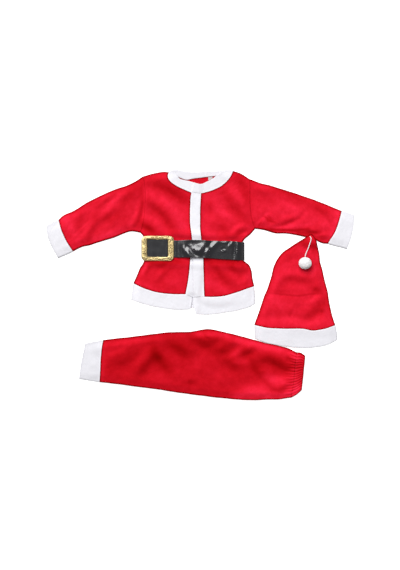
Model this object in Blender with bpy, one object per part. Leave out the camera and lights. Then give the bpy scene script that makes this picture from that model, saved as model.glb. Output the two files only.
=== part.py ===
"""A toddler's Santa suit laid flat: belted jacket, hat with a corded pompom, trousers folded in half.

Tables are in millimetres: x to the wearer's left hand, y towards the collar, z up from the table. Left
and right are as seen from above. Each cloth piece is a four-sided patch between its sewing edges, given a
wall.
"""
import math

import bmesh
import bpy
import numpy as np

MM = 0.001

# ---------------------------------------------------------------- driving dimensions
CLOTH = 1.8             # wall of the red brushed knit
TRIM = 2.0              # wall of the white trim
AIR = 0.5               # air between two layers that lie on each other
LAYER = CLOTH + AIR     # from the underside of one layer to the underside of the next
EDGE_HEIGHT = 2.05      # where a folded edge stands out furthest
EDGE_ROUND = 2.6        # how far in the rounding of an edge reaches
EDGE_WALL = 0.72        # share of the wall that is left at a cut edge
INNER_AIR = 0.12        # least air inside a flat tube
TIP_SOLID = 0.06        # share of the hat's height without air inside, at its tip
SEAM_GAP = 0.22         # each piece ends this far from the seam line
PUFF = 1.6              # how far the middle of a flat tube stands up
PUFF_REACH = 30.0       # from an edge to the full puff

BELT_THICK = 2.0
BELT_CLEAR = 0.4
BELT_LEFT = -142.0      # outer faces of the two turns
BELT_RIGHT = 110.3
BELT_MIDDLE = ((-142.0, 91.2), (-65.0, 90.2), (110.3, 83.8))      # x, y of the strap's middle line
BELT_OVER_PLACKETS = (-42.0, -28.0, 12.0, 28.0)                   # x: rises from, up at, falls from, down at
BELT_TURNS = {                                                    # millimetres in x and z
    # profile: wall at the turn, foot, start of the corner, corner inset, end of the corner
    "front outer": (0.0, 4.55, 6.9, 0.7, 8.4),
    "front inner": (2.0, 4.55, 6.0, 0.4, 6.6),
    "back outer": (0.0, 4.25, 0.8, 0.8, 0.0),
    "back inner": (2.0, 4.25, 2.3, 0.4, 2.0),
}
BELT_FACE_STEPS = 26
BELT_HOLE_RADIUS = 2.0
BELT_HOLES_X = (-15.5, 22.5, 56.5, 90.5)

BUCKLE_CENTRE = (-106.25, 91.25)
BUCKLE_HALF = (41.0, 31.75)
BUCKLE_RADIUS = 12.0
WINDOW_CENTRE = (-106.75, 92.0)
WINDOW_HALF = (25.5, 21.5)
WINDOW_RADIUS = 3.0
BUCKLE_THICK = 4.6
BUCKLE_CLEAR = 0.3
BUCKLE_SECTION = ((0.0, 0.0), (0.0, 0.45), (0.14, 0.8), (0.5, 1.0), (0.86, 0.8), (1.0, 0.5), (1.0, 0.0))
NUB_REACH = 1.4         # the three small points in the window
NUB_SHAPE = ((-4.0, 0.0), (-1.6, 0.55), (0.0, 1.0), (1.6, 0.55), (4.0, 0.0))      # offset in mm, share

LEG_LAYERS = 3          # hidden layers of the folded trousers
LEG_PITCH = 2.1         # one hidden layer and the air over it
LIP_INSET = 0.8         # how far a layer's edge rounds in, above and below
GROOVE_INSET = 2.4      # how deep the groove between two layers is
GATHERS = 11            # ridges of the elastic casing
GATHER_HEIGHT = 1.2

POMPOM_CENTRE = (262.0, 54.3)
POMPOM_RADIUS = 17.0
POMPOM_SQUASH = 0.9
CORD_RADIUS = 1.5
CORD_RISE = 3.0         # the cord's last stretch climbs to the pompom's side
ON_HAT = 0.6            # clearance of cord and pompom over the hat's face
TIP_LIFT = 4.8          # the hat's tip lies on the sleeve
TIP_LIFT_FROM = 84.0    # y where it starts to rise
TIP_LIFT_RUN = 24.0
TAG_THICK = 1.0
TAG_CLEAR = 0.3

# ---------------------------------------------------------------- sewing edges: rows of x, y
OVERARM_LEFT = ((-143, 271), (-163.5, 257), (-217, 236.5), (-278, 208), (-318.5, 183.5), (-343, 172.5),
                (-354, 162.5))
UNDERARM_LEFT = ((-148.5, 132.5), (-169, 134.5), (-219, 117.5), (-255, 107), (-278, 99.5), (-293.5, 96),
                 (-318.5, 84))
ARMHOLE_LEFT = ((-143, 271), (-139.5, 256), (-137, 231), (-138.5, 190.5), (-143.5, 150), (-148.5, 132.5))
CUFF_SEAM_LEFT = ((-354, 162.5), (-345.5, 133.5), (-334, 109), (-318.5, 84))
CUFF_END_LEFT = ((-384.5, 149), (-380, 116.5), (-366.5, 86), (-356, 67.5))
OVERARM_RIGHT = ((123, 264), (144.5, 255.5), (176.5, 247.5), (216, 235), (252, 223.5), (306, 204), (334, 192),
                 (353.5, 184))
UNDERARM_RIGHT = ((137.5, 141), (162.5, 137), (186.5, 130), (216, 129), (246, 124), (288, 113), (306, 104.5),
                  (319, 103.5))
ARMHOLE_RIGHT = ((123, 264), (124, 240), (123.5, 208), (126, 180), (131, 157), (137.5, 141))
CUFF_SEAM_RIGHT = ((353.5, 184), (347.5, 164), (338, 136), (319, 103.5))
CUFF_END_RIGHT = ((384.5, 175), (383, 148), (374, 112), (366, 90.5))

SHOULDER_LEFT = ((-143, 271), (-122.5, 276.5), (-102, 280.5), (-91.5, 281.5), (-82, 279))
SHOULDER_RIGHT = ((82.5, 285), (101, 278.5), (123, 264))
NECK_LEFT = ((-82, 279), (-82, 271.5), (-77.5, 262.5), (-68.5, 252), (-57.5, 244.5), (-41, 237), (-22, 230))
NECK_RIGHT = ((82.5, 285), (76, 271.5), (67.5, 259.5), (55.5, 249), (40.5, 240.5), (21, 233), (2, 228.5))
BACK_NECK = ((-82, 279), (-66, 270.5), (-50, 264.5), (-32, 262), (-15.5, 266), (6, 269), (38, 272.5),
             (60, 277), (82.5, 285))
SIDE_LEFT = ((-148.5, 132.5), (-142.5, 125.5), (-138.8, 116), (-138.6, 92), (-138.8, 64), (-143.5, 52.5),
             (-149, 45.5), (-158, 24.5), (-167, 4))
SIDE_RIGHT = ((137.5, 141), (123.5, 125.5), (110, 114), (106, 107.5), (105.6, 98), (105.6, 70), (106.5, 58),
              (113, 53), (120, 50), (127, 36.5), (130.5, 16), (134.5, -2.5))
FRONT_EDGE_LEFT = ((-22, 230), (-24.5, 217.5), (-26, 197.5), (-26.5, 177.5), (-26, 150), (-23.5, 129.5),
                   (-22, 112), (-25.5, 67), (-27, 44), (-30, 14), (-37, -23.5))
FRONT_EDGE_RIGHT = ((2, 228.5), (0, 204), (-0.5, 177), (-0.5, 150), (1.5, 123), (2.5, 112), (7.5, 65),
                    (8, 29), (10.5, -29.5))
HEM_SEAM_LEFT = ((-167, 4), (-142.5, -7.5), (-115.5, -16.5), (-82, -22), (-37, -23.5))
HEM_SEAM_RIGHT = ((10.5, -29.5), (30, -30), (60, -27), (90.5, -18.5), (134.5, -2.5))
HEM_SEAM_BACK = ((-167, 4), (-110, -13), (-40, -21), (40, -21), (100, -13), (134.5, -2.5))

PLACKET_UNDER_EDGE = ((-5, 229), (-5.5, 200), (-5.5, 150), (-4, 112), (0, 66), (-3, 20), (-14, -27.5))
PLACKET_OVER_EDGE = ((-22, 230), (-24.5, 217.5), (-26, 197.5), (-26.5, 177.5), (-26, 150), (-23.5, 129.5),
                     (-22, 112), (-20.5, 65), (-18.5, -29))

COLLAR_INNER_LEFT = ((-65, 286), (-58, 276), (-50.5, 265.5), (-32, 260.5), (-15.5, 255.5), (-2, 252))
COLLAR_INNER_RIGHT = ((64, 286.8), (52, 280), (39, 272.5), (31.5, 266.5), (20.5, 260), (1, 252),
                      (-15.5, 255.5))
COLLAR_TOP = ((-82, 279), (-75, 284.5), (-65, 287), (-50, 284.5), (-35, 281.5), (3, 281.5), (40.5, 283.5),
              (62, 286.8), (74, 286.6), (82.5, 285))

HEM_END_LEFT = ((-173, -36.5), (-142.5, -47), (-112.5, -54.5), (-82, -59.5), (-52, -62), (-26.5, -60.5))
HEM_END_RIGHT = ((-8, -72), (10.5, -74), (37.5, -72.5), (68, -68), (98, -62), (125.5, -53.5), (137, -47))
HEM_END_BACK = ((-173, -36.5), (-112, -50), (-30, -56.5), (40, -58.5), (100, -55), (137, -47))
HEM_OPEN_LEFT = ((-20, -31), (-22.5, -51.5), (-26.5, -60.5))
HEM_OPEN_RIGHT = ((-15.5, -30.5), (-13, -54.5), (-8, -72))

BELT_TOP = ((-142, 113), (-65, 111.5), (-21.5, 112.5), (3, 112), (37.5, 110), (83, 109), (110.3, 106.5))
BELT_BOTTOM = ((-142, 69.5), (-65, 68.5), (-38, 68.5), (7.5, 67.5), (53, 64.5), (110.3, 61))

HAT_LEFT = ((270, 124), (262, 117.5), (244, 106.5), (223.5, 93), (207, 81.5), (192.5, 63), (184, 44.5),
            (178, 21.5), (167.5, -12), (159, -32), (147, -67.5), (135.5, -100))
HAT_RIGHT = ((283, 122), (288, 112.5), (292, 97), (296, 79), (299.5, 53), (303.5, 40), (310.5, 9), (318, -20),
             (319.5, -30), (327, -70), (336.5, -101))
HAT_TIP = ((270, 124), (276.5, 126.5), (283, 122))
HAT_SEAM = ((135.5, -100), (162, -106), (209, -109), (254, -109.5), (281.5, -113.5), (304, -111),
            (336.5, -101))
HAT_BRIM = ((137, -134.5), (164, -144.2), (199, -151.5), (229, -155.5), (254, -157), (287.5, -155.5),
            (317.5, -149), (341.5, -138))
HAT_BRIM_LEFT = ((135.5, -100), (136.5, -118), (137, -134.5))
HAT_BRIM_RIGHT = ((336.5, -101), (340, -120), (341.5, -138))

LEG_TOP = ((-241.5, -137), (-150, -126.5), (-86.5, -118.5), (-19, -115.5), (21, -109.5), (57, -116.5),
           (97, -126.5), (137, -137.5), (165, -144.8), (199, -152.2), (220, -158.5), (240.5, -167.5))
LEG_FOLD = ((-251, -242), (-126.5, -258), (-15, -274), (73, -284), (137, -287.2), (168, -285.7), (199, -285),
            (226.5, -281))
LEG_CUFF_SEAM = ((-241.5, -137), (-245.5, -155), (-248, -185), (-251, -242))
LEG_CUFF_END = ((-287.5, -146), (-292, -167), (-298, -197), (-303, -234))
CASING_SEAM = ((240.5, -167.5), (236, -200), (232.5, -245), (226.5, -281))
WAIST_END = ((262, -176.5), (259, -210), (256, -236), (253.5, -262))

LAP_END_UNDER = (-2, 228.8)
LAP_END_OVER = (-21.5, 230.2)
SHOULDER_END_LEFT = (NECK_LEFT[0], (-76, 283), COLLAR_INNER_LEFT[0])
SHOULDER_END_RIGHT = (COLLAR_INNER_RIGHT[0], (75, 286.8), NECK_RIGHT[0])
COLLAR_BACK_LEFT = ((-78, 282.5), (-82, 279))
COLLAR_BACK_RIGHT = ((82.3, 286.5), (82.5, 285))
TAG_CORNERS = ((19.5, 269), (30, 270.3), (20.2, 260.8), (30, 265.2))        # upper two, lower two
CASING_TOP = (CASING_SEAM[0], (250, -168.5), WAIST_END[0])
CASING_FOLD = (CASING_SEAM[-1], (241, -273), WAIST_END[-1])

CORD_ROUTE = ((274.5, 122.5), (278.5, 116), (277, 110), (273.7, 103), (270.2, 91.5), (265.5, 80.5),
              (263.5, 75), (262.3, 69.4))

# ---------------------------------------------------------------- folds: x1, y1, x2, y2, width, height
JACKET_FOLDS = (
    (-324, 112, -285, 130, 11, 0.9), (-285, 130, -235, 178, 13, 1.2), (-235, 178, -165, 212, 14, 1.2),
    (-270, 122, -215, 170, 9, -1.0), (-150, 195, -172, 150, 10, -0.9),
    (-130, 230, -80, 190, 12, 1.1), (-128, 210, -70, 150, 9, -1.1), (-136, 170, -98, 140, 9, 1.0),
    (-128, 52, -96, 8, 13, 1.0), (-118, 45, -88, 10, 8, -0.9),
    (50, 203, 78, 166, 12, 1.1), (82, 190, 110, 165, 9, -0.9), (124, 138, 92, 113, 9, 1.0),
    (30, 52, 75, 5, 10, -1.0), (85, 40, 100, 0, 13, 0.9),
    (168, 238, 286, 176, 14, 1.2), (214, 219, 312, 174, 9, -0.9), (198, 138, 260, 145, 9, 0.9),
    (190, 152, 256, 168, 8, -0.8),
)
HAT_FOLDS = (
    (165, -26, 320, -23, 4.5, -1.3), (170, -38, 315, -36, 9, 0.7), (205, 22, 285, 20, 13, -0.9),
    (305, -35, 272, -70, 10, -1.0), (185, -89, 320, -88, 8, 0.9),
)
LEG_FOLDS = (
    (-200, -180, -110, -200, 16, -1.0), (-105, -178, -148, -218, 9, -1.0), (-180, -150, 10, -150, 16, 0.9),
    (150, -188, 226, -212, 13, -1.1), (160, -245, 226, -242, 11, -1.1), (192, -232, 215, -232, 13, 1.0),
    (40, -130, 90, -165, 9, -0.8), (-60, -250, 150, -262, 14, 0.8),
)


# ---------------------------------------------------------------- curves and patches
def smoothstep(t):
    t = np.clip(t, 0.0, 1.0)
    return t * t * (3.0 - 2.0 * t)


def edge(rows, per_span=16):
    """Rows t, x, y along the cubic whose slope at each point is the mean of its two chords."""
    points = np.array(rows, dtype=float)
    length = np.append(0.0, np.cumsum(np.linalg.norm(np.diff(points, axis=0), axis=1)))
    slope = np.gradient(points, length, axis=0)
    t = np.unique(np.concatenate([np.linspace(a, b, per_span) for a, b in zip(length, length[1:])]))
    i = np.clip(np.searchsorted(length, t, side="right") - 1, 0, len(points) - 2)
    span = (length[i + 1] - length[i])[:, None]
    s = (t - length[i])[:, None] / span
    curve = ((2 * s**3 - 3 * s**2 + 1) * points[i] + (s**3 - 2 * s**2 + s) * span * slope[i]
             + (3 * s**2 - 2 * s**3) * points[i + 1] + (s**3 - s**2) * span * slope[i + 1])
    run = np.append(0.0, np.cumsum(np.linalg.norm(np.diff(curve, axis=0), axis=1)))
    return np.column_stack((run / run[-1], curve))


def joined(edges, shares):
    """One edge from several end to end; shares are the places of their ends from 0 to 1."""
    rows = [np.column_stack((a + (b - a) * piece[:, 0], piece[:, 1:]))
            for piece, a, b in zip(edges, shares, shares[1:])]
    return np.concatenate([rows[0]] + [piece[1:] for piece in rows[1:]])


def along(line, t):
    return np.stack((np.interp(t, line[:, 0], line[:, 1]), np.interp(t, line[:, 0], line[:, 2])), axis=-1)


def outline(*edges):
    """A closed polyline through several edges, end to end."""
    rows = np.concatenate([edge(rows, 5) for rows in edges])
    return np.concatenate((rows, rows[:1]))


def straight(start, end):
    return np.array(((0.0, *start), (1.0, *end)))


def distance(x, y, line):
    """From each point to the nearest point of a polyline with rows t, x, y."""
    nearest = np.full(np.shape(x), np.inf)
    for (_, ax, ay), (_, bx, by) in zip(line, line[1:]):
        length = (bx - ax) ** 2 + (by - ay) ** 2
        t = np.clip(((x - ax) * (bx - ax) + (y - ay) * (by - ay)) / max(length, 1e-9), 0.0, 1.0)
        nearest = np.minimum(nearest, np.hypot(x - ax - t * (bx - ax), y - ay - t * (by - ay)))
    return nearest


class Patch:
    """A four-sided piece of cloth: u runs from the left edge to the right, v from the top to the bottom.

    A point is the sum of the two ruled surfaces between opposite edges, less the one between corners.
    """

    SAMPLES = 100

    def __init__(self, top, bottom, left, right, gap=SEAM_GAP):
        n = self.SAMPLES
        self.t = np.linspace(0.0, 1.0, n + 1)
        sides = [along(top, self.t), along(right, self.t)]
        sides += [along(bottom, self.t)[::-1], along(left, self.t)[::-1]]
        loop = self.inset(np.concatenate([side[:-1] for side in sides]), gap)
        loop = np.concatenate((loop, loop[:1]))
        self.top = loop[: n + 1]
        self.right = loop[n: 2 * n + 1]
        self.bottom = loop[2 * n: 3 * n + 1][::-1]
        self.left = loop[3 * n:][::-1]

    @staticmethod
    def inset(loop, gap):
        """The loop moved inwards: each point along the mean of its two sides' normals."""
        step = np.roll(loop, -1, axis=0) - loop
        step /= np.linalg.norm(step, axis=1, keepdims=True)
        normal = np.column_stack((step[:, 1], -step[:, 0]))
        area = np.sum(loop[:, 0] * np.roll(loop[:, 1], -1) - loop[:, 1] * np.roll(loop[:, 0], -1))
        normal *= -np.sign(area)
        mean = normal + np.roll(normal, 1, axis=0)
        reach = np.maximum(np.sum(mean * mean, axis=1, keepdims=True) / 2.0, 0.5)
        return loop + gap * mean / reach

    def side(self, points, t):
        return np.stack((np.interp(t, self.t, points[:, 0]), np.interp(t, self.t, points[:, 1])), axis=-1)

    def at(self, u, v):
        across, down = u[..., None], v[..., None]
        ruled = ((1 - down) * self.side(self.top, u) + down * self.side(self.bottom, u)
                 + (1 - across) * self.side(self.left, v) + across * self.side(self.right, v))
        corners = ((1 - down) * ((1 - across) * self.top[0] + across * self.top[-1])
                   + down * ((1 - across) * self.bottom[0] + across * self.bottom[-1]))
        return ruled - corners

    def grid(self, u, v):
        u, v = np.meshgrid(u, v)
        return self.at(u, v)

    def width(self, v):
        return np.linalg.norm(self.side(self.right, v) - self.side(self.left, v), axis=-1)


def spread(stops, counts):
    """Values from the first stop to the last, in so many equal steps between each two."""
    parts = [np.linspace(a, b, n, endpoint=False) for a, b, n in zip(stops, stops[1:], counts)]
    return np.append(np.concatenate(parts), stops[-1])


def folds(x, y, table):
    """Ridges (height above 0) and troughs (below) that fade across their width and at both ends."""
    total = np.zeros(np.shape(x))
    for x1, y1, x2, y2, width, height in table:
        dx, dy = x2 - x1, y2 - y1
        t = np.clip(((x - x1) * dx + (y - y1) * dy) / (dx * dx + dy * dy), 0.0, 1.0)
        off = np.hypot(x - x1 - t * dx, y - y1 - t * dy)
        total += height * np.exp(-((off / width) ** 2)) * (1.0 - 0.7 * (2.0 * t - 1.0) ** 4)
    return total


# ---------------------------------------------------------------- meshes
def material(name, colour, roughness, metallic=0.0):
    made = bpy.data.materials.new(name)
    made.use_nodes = True
    shader = made.node_tree.nodes["Principled BSDF"]
    shader.inputs["Base Color"].default_value = (*colour, 1.0)
    shader.inputs["Roughness"].default_value = roughness
    shader.inputs["Metallic"].default_value = metallic
    return made


def add_object(name, data, look, scene):
    data.materials.append(look)
    made = bpy.data.objects.new(name, data)
    scene.collection.objects.link(made)
    return made


def add_body(name, sheets, look, scene, rings=()):
    """One closed body from grids of points that meet at shared points, and flat faces round rings."""
    mesh = bmesh.new()
    for sheet in sheets:
        rows = [[mesh.verts.new(point * MM) for point in row] for row in sheet]
        for upper, lower in zip(rows, rows[1:]):
            for a, b, c, d in zip(upper, upper[1:], lower[1:], lower):
                mesh.faces.new((a, b, c, d))
    for ring in rings:
        mesh.faces.new([mesh.verts.new(point * MM) for point in ring])
    bmesh.ops.remove_doubles(mesh, verts=mesh.verts, dist=2e-6)
    bmesh.ops.dissolve_degenerate(mesh, edges=mesh.edges, dist=1e-6)
    bmesh.ops.recalc_face_normals(mesh, faces=mesh.faces)
    data = bpy.data.meshes.new(name)
    mesh.to_mesh(data)
    mesh.free()
    data.shade_smooth()
    data.set_sharp_from_angle(angle=math.radians(50))
    return add_object(name, data, look, scene)


def raised(points, height):
    return np.concatenate((points, height[..., None]), axis=-1)


def rim(upper, lower):
    """The four side strips between two grids of the same size."""
    return [np.stack((upper[0], lower[0])), np.stack((upper[-1], lower[-1])),
            np.stack((upper[:, 0], lower[:, 0])), np.stack((upper[:, -1], lower[:, -1]))]


def add_panel(name, patch, u, v, underside, thickness, look, scene):
    """A sheet of cloth between its underside and a face one wall above it, thinned along its edges."""
    points = patch.grid(u, v)
    low = underside(points[..., 0], points[..., 1])
    wall = np.full(low.shape, thickness)
    for border in (wall[0], wall[-1], wall[:, 0], wall[:, -1]):
        border[:] = thickness * EDGE_WALL
    upper, lower = raised(points, low + wall), raised(points, low)
    return add_body(name, [upper, lower] + rim(upper, lower), look, scene)


def add_tube(name, patch, u, v, height, thickness, look, scene, closed=False, base=None):
    """A flat tube: a wall all round between two folded edges, open at both ends or closed at the first."""
    base = base or (lambda x, y: np.zeros(np.shape(x)))
    u_grid, v_grid = np.meshgrid(u, v)
    width = patch.width(v)[:, None]
    inner_u = thickness / width + u_grid * (1.0 - 2.0 * thickness / width)
    inner_v = v_grid
    if closed:
        inner_v = TIP_SOLID + v_grid * (1.0 - TIP_SOLID)
    outer, inner = patch.at(u_grid, v_grid), patch.at(inner_u, inner_v)

    def round_off(across, down, points):
        from_edge = np.minimum(across, 1.0 - across) * width
        if closed:
            from_tip = np.linalg.norm(patch.side(patch.top, across) - points, axis=-1)
            from_edge = np.minimum(from_edge, from_tip)
        return np.sqrt(np.clip(1.0 - (1.0 - np.clip(from_edge / EDGE_ROUND, 0.0, 1.0)) ** 2, 0.0, 1.0))

    floor = base(outer[..., 0], outer[..., 1])
    shape = round_off(u_grid, v_grid, outer)
    top = floor + EDGE_HEIGHT + (height(outer[..., 0], outer[..., 1]) - EDGE_HEIGHT) * shape
    bottom = floor + EDGE_HEIGHT * (1.0 - shape)
    inner_floor = base(inner[..., 0], inner[..., 1])
    shape = round_off(inner_u, inner_v, inner)
    inner_top = EDGE_HEIGHT + (height(inner[..., 0], inner[..., 1]) - EDGE_HEIGHT) * shape
    inner_top += inner_floor - thickness
    inner_bottom = inner_floor + thickness + 0.0 * inner_top
    inner_top = np.maximum(inner_top, inner_bottom + INNER_AIR)
    meet = inner_bottom + INNER_AIR / 2
    borders = [np.s_[:, 0], np.s_[:, -1]] + ([np.s_[0]] if closed else [])
    for border in borders:
        inner_top[border] = inner_bottom[border] = meet[border]
    sheets = [raised(outer, top), raised(outer, bottom)]
    sheets += [raised(inner, inner_top), raised(inner, inner_bottom)]
    ends = [-1] if closed else [0, -1]
    for end in ends:
        sheets.append(np.stack((sheets[0][end], sheets[2][end])))
        sheets.append(np.stack((sheets[1][end], sheets[3][end])))
    return add_body(name, sheets, look, scene)


def add_layers(name, edges, u, v, layers, look, scene):
    """Hidden folded layers as one rounded body: each shows as a lip at the side, with a groove between."""
    profile = []
    for layer in range(layers):
        low = layer * LEG_PITCH
        profile += [(low, LIP_INSET), (low + CLOTH / 2, 0.0), (low + CLOTH, LIP_INSET)]
        if layer < layers - 1:
            profile.append((low + (CLOTH + LEG_PITCH) / 2, GROOVE_INSET))
    rings = []
    for height, inward in profile:
        grid = Patch(*edges, gap=SEAM_GAP + inward).grid(u, v)
        ring = np.concatenate((grid[0, :-1], grid[:-1, -1], grid[-1, :0:-1], grid[:0:-1, 0]))
        rings.append(raised(ring, np.full(len(ring), height)))
    closed = np.array([np.concatenate((ring, ring[:1])) for ring in rings])
    return add_body(name, [closed], look, scene, rings=(rings[0], rings[-1]))


# ---------------------------------------------------------------- heights
def belt_middle(x):
    return np.interp(x, *np.transpose(BELT_MIDDLE))


def belt_lift(x, y, flat, ramp):
    """What the belt's back stretch raises: full within flat of its middle line, none past the ramp."""
    return (BELT_THICK + BELT_CLEAR) * (1.0 - smoothstep((np.abs(y - belt_middle(x)) - flat) / ramp))


def back_low(x, y):
    return belt_lift(x, y, 31.0, 12.0)


def lap_rise(x, y):
    """The right front lies over the left: raised by one trim wall to past the under placket's edge."""
    first, last = PLACKET_UNDER_EDGE[0][1], PLACKET_UNDER_EDGE[-1][1]
    under = along(PLACKET_UNDER, (first - y) / (first - last))[..., 0]
    return (TRIM + AIR) * (1.0 - smoothstep((x - under - 1.0) / 15.0))


def jacket_rise(x, y):
    """The puff and the folds of the upper cloth over the lower, none at the edges and at the belt."""
    soft = smoothstep((distance(x, y, JACKET_OUTLINE) - 3.0) / PUFF_REACH)
    cinch = smoothstep((np.abs(y - belt_middle(x)) - 30.0) / 22.0)
    return (PUFF + folds(x, y, JACKET_FOLDS)) * soft * cinch


def front_low(x, y):
    return LAYER + belt_lift(x, y, 37.0, 16.0) + jacket_rise(x, y)


def over_low(x, y):
    return front_low(x, y) + lap_rise(x, y)


def tag_low(x, y):
    return np.full(np.shape(x), CLOTH + TAG_CLEAR)


def sleeve_height(x, y):
    return LAYER + CLOTH + jacket_rise(x, y)


def cuff_height(x, y):
    return 2.0 * TRIM + AIR + 0.5 * jacket_rise(x, y)


def hat_rise(x, y):
    soft = smoothstep((distance(x, y, HAT_OUTLINE) - 3.0) / PUFF_REACH)
    return (PUFF + folds(x, y, HAT_FOLDS)) * soft


def hat_height(x, y):
    return LAYER + CLOTH + hat_rise(x, y)


def brim_height(x, y):
    return 2.0 * TRIM + AIR + 0.5 * hat_rise(x, y)


def hat_base(x, y):
    """The tip lies on the sleeve's lower edge."""
    return TIP_LIFT * smoothstep((y - TIP_LIFT_FROM) / TIP_LIFT_RUN)


def leg_low(x, y):
    soft = smoothstep((distance(x, y, LEG_OUTLINE) - 2.0) / PUFF_REACH)
    return LEG_LAYERS * LEG_PITCH + (PUFF + folds(x, y, LEG_FOLDS)) * soft


def casing_low(x, y):
    """The elastic draws the casing into ridges that cross it."""
    high, low = CASING_SEAM[0][1], CASING_SEAM[-1][1]
    gathers = 0.5 - 0.5 * np.cos(2.0 * math.pi * GATHERS * (y - high) / (high - low))
    return LEG_LAYERS * LEG_PITCH + GATHER_HEIGHT * gathers * smoothstep(distance(x, y, LEG_OUTLINE) / 5.0)


# ---------------------------------------------------------------- named curves used more than once
PLACKET_UNDER = edge(PLACKET_UNDER_EDGE)
JACKET_OUTLINE = outline(
    CUFF_END_LEFT[::-1], OVERARM_LEFT[::-1], SHOULDER_LEFT, COLLAR_TOP, SHOULDER_RIGHT, OVERARM_RIGHT,
    CUFF_END_RIGHT, UNDERARM_RIGHT[::-1], SIDE_RIGHT, HEM_END_RIGHT[::-1], HEM_END_LEFT[::-1],
    SIDE_LEFT[::-1], UNDERARM_LEFT)
HAT_OUTLINE = outline(HAT_LEFT[::-1], HAT_RIGHT, HAT_BRIM_RIGHT, HAT_BRIM[::-1], HAT_BRIM_LEFT[::-1])
LEG_OUTLINE = outline(LEG_CUFF_END[::-1], LEG_TOP, WAIST_END, LEG_FOLD[::-1])

BODY_ROWS = spread((0, 0.22, 0.46, 0.82, 1), (6, 4, 9, 3))
FRONT_COLUMNS = spread((0, 1), (7,))
BACK_COLUMNS = spread((0, 0.24, 0.84, 1), (1, 9, 1))
PLACKET_ROWS = (BODY_ROWS[6:] - 0.22) / 0.78
ACROSS_TUBE = np.array((0, 0.012, 0.045, 0.13, 0.26, 0.42, 0.58, 0.74, 0.87, 0.955, 0.988, 1))
RED = ((0.69, 0.010, 0.025), 0.85)
WHITE = ((0.86, 0.86, 0.88), 0.9)


# ---------------------------------------------------------------- the jacket
def add_sleeves(scene, red, white):
    sides = (
        ("left", OVERARM_LEFT, UNDERARM_LEFT, ARMHOLE_LEFT, CUFF_SEAM_LEFT, CUFF_END_LEFT),
        ("right", OVERARM_RIGHT, UNDERARM_RIGHT, ARMHOLE_RIGHT, CUFF_SEAM_RIGHT, CUFF_END_RIGHT),
    )
    for side, over, under, armhole, cuff_seam, cuff_end in sides:
        sleeve = Patch(edge(armhole), edge(cuff_seam), edge(over), edge(under))
        rows = spread((0, 1), (8,))
        add_tube(f"sleeve_{side}", sleeve, ACROSS_TUBE, rows, sleeve_height, CLOTH, red, scene)
        cuff = Patch(edge(cuff_seam), edge(cuff_end), straight(over[-1], cuff_end[0]),
                     straight(under[-1], cuff_end[-1]))
        rows = spread((0, 1), (2,))
        add_tube(f"sleeve_cuff_{side}", cuff, ACROSS_TUBE, rows, cuff_height, TRIM, white, scene)


def add_body_panels(scene, red):
    left_side = joined((edge(ARMHOLE_LEFT), edge(SIDE_LEFT)), (0, 0.46, 1))
    right_side = joined((edge(ARMHOLE_RIGHT), edge(SIDE_RIGHT)), (0, 0.46, 1))
    front = Patch(edge(SHOULDER_LEFT), edge(HEM_SEAM_LEFT), left_side,
                  joined((edge(NECK_LEFT), edge(FRONT_EDGE_LEFT)), (0, 0.22, 1)))
    add_panel("jacket_front_left", front, FRONT_COLUMNS, BODY_ROWS, front_low, CLOTH, red, scene)
    front = Patch(edge(SHOULDER_RIGHT), edge(HEM_SEAM_RIGHT),
                  joined((edge(NECK_RIGHT), edge(FRONT_EDGE_RIGHT)), (0, 0.22, 1)), right_side)
    add_panel("jacket_front_right", front, FRONT_COLUMNS, BODY_ROWS, over_low, CLOTH, red, scene)
    shoulders = joined((edge(SHOULDER_LEFT), edge(BACK_NECK), edge(SHOULDER_RIGHT)), (0, 0.24, 0.84, 1))
    back = Patch(shoulders, edge(HEM_SEAM_BACK), left_side, right_side)
    add_panel("jacket_back", back, BACK_COLUMNS, BODY_ROWS, back_low, CLOTH, red, scene)


def add_plackets(scene, white):
    under = Patch(straight(FRONT_EDGE_LEFT[0], PLACKET_UNDER_EDGE[0]),
                  straight(FRONT_EDGE_LEFT[-1], PLACKET_UNDER_EDGE[-1]), edge(FRONT_EDGE_LEFT), PLACKET_UNDER)
    add_panel("placket_under", under, spread((0, 1), (2,)), PLACKET_ROWS, front_low, TRIM, white, scene)
    over = Patch(straight(PLACKET_OVER_EDGE[0], FRONT_EDGE_RIGHT[0]),
                 straight(PLACKET_OVER_EDGE[-1], FRONT_EDGE_RIGHT[-1]), edge(PLACKET_OVER_EDGE),
                 edge(FRONT_EDGE_RIGHT))
    add_panel("placket_over", over, spread((0, 1), (3,)), PLACKET_ROWS, over_low, TRIM, white, scene)


def add_hems(scene, white):
    rows = spread((0, 1), (3,))
    seam = joined((edge(HEM_SEAM_LEFT), straight(HEM_SEAM_LEFT[-1], HEM_OPEN_LEFT[0])), (0, 0.88, 1))
    side = straight(HEM_SEAM_LEFT[0], HEM_END_LEFT[0])
    left = Patch(seam, edge(HEM_END_LEFT), side, edge(HEM_OPEN_LEFT))
    add_panel("hem_front_left", left, spread((0, 0.88, 1), (7, 1)), rows, front_low, TRIM, white, scene)
    seam = joined((straight(HEM_OPEN_RIGHT[0], HEM_SEAM_RIGHT[0]), edge(HEM_SEAM_RIGHT)), (0, 0.16, 1))
    side = straight(HEM_SEAM_RIGHT[-1], HEM_END_RIGHT[-1])
    right = Patch(seam, edge(HEM_END_RIGHT), edge(HEM_OPEN_RIGHT), side)
    add_panel("hem_front_right", right, spread((0, 0.16, 1), (1, 7)), rows, over_low, TRIM, white, scene)
    back = Patch(edge(HEM_SEAM_BACK), edge(HEM_END_BACK), straight(HEM_SEAM_BACK[0], HEM_END_BACK[0]),
                 straight(HEM_SEAM_BACK[-1], HEM_END_BACK[-1]))
    add_panel("hem_back", back, BACK_COLUMNS, spread((0, 1), (2,)), back_low, TRIM, white, scene)


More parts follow.
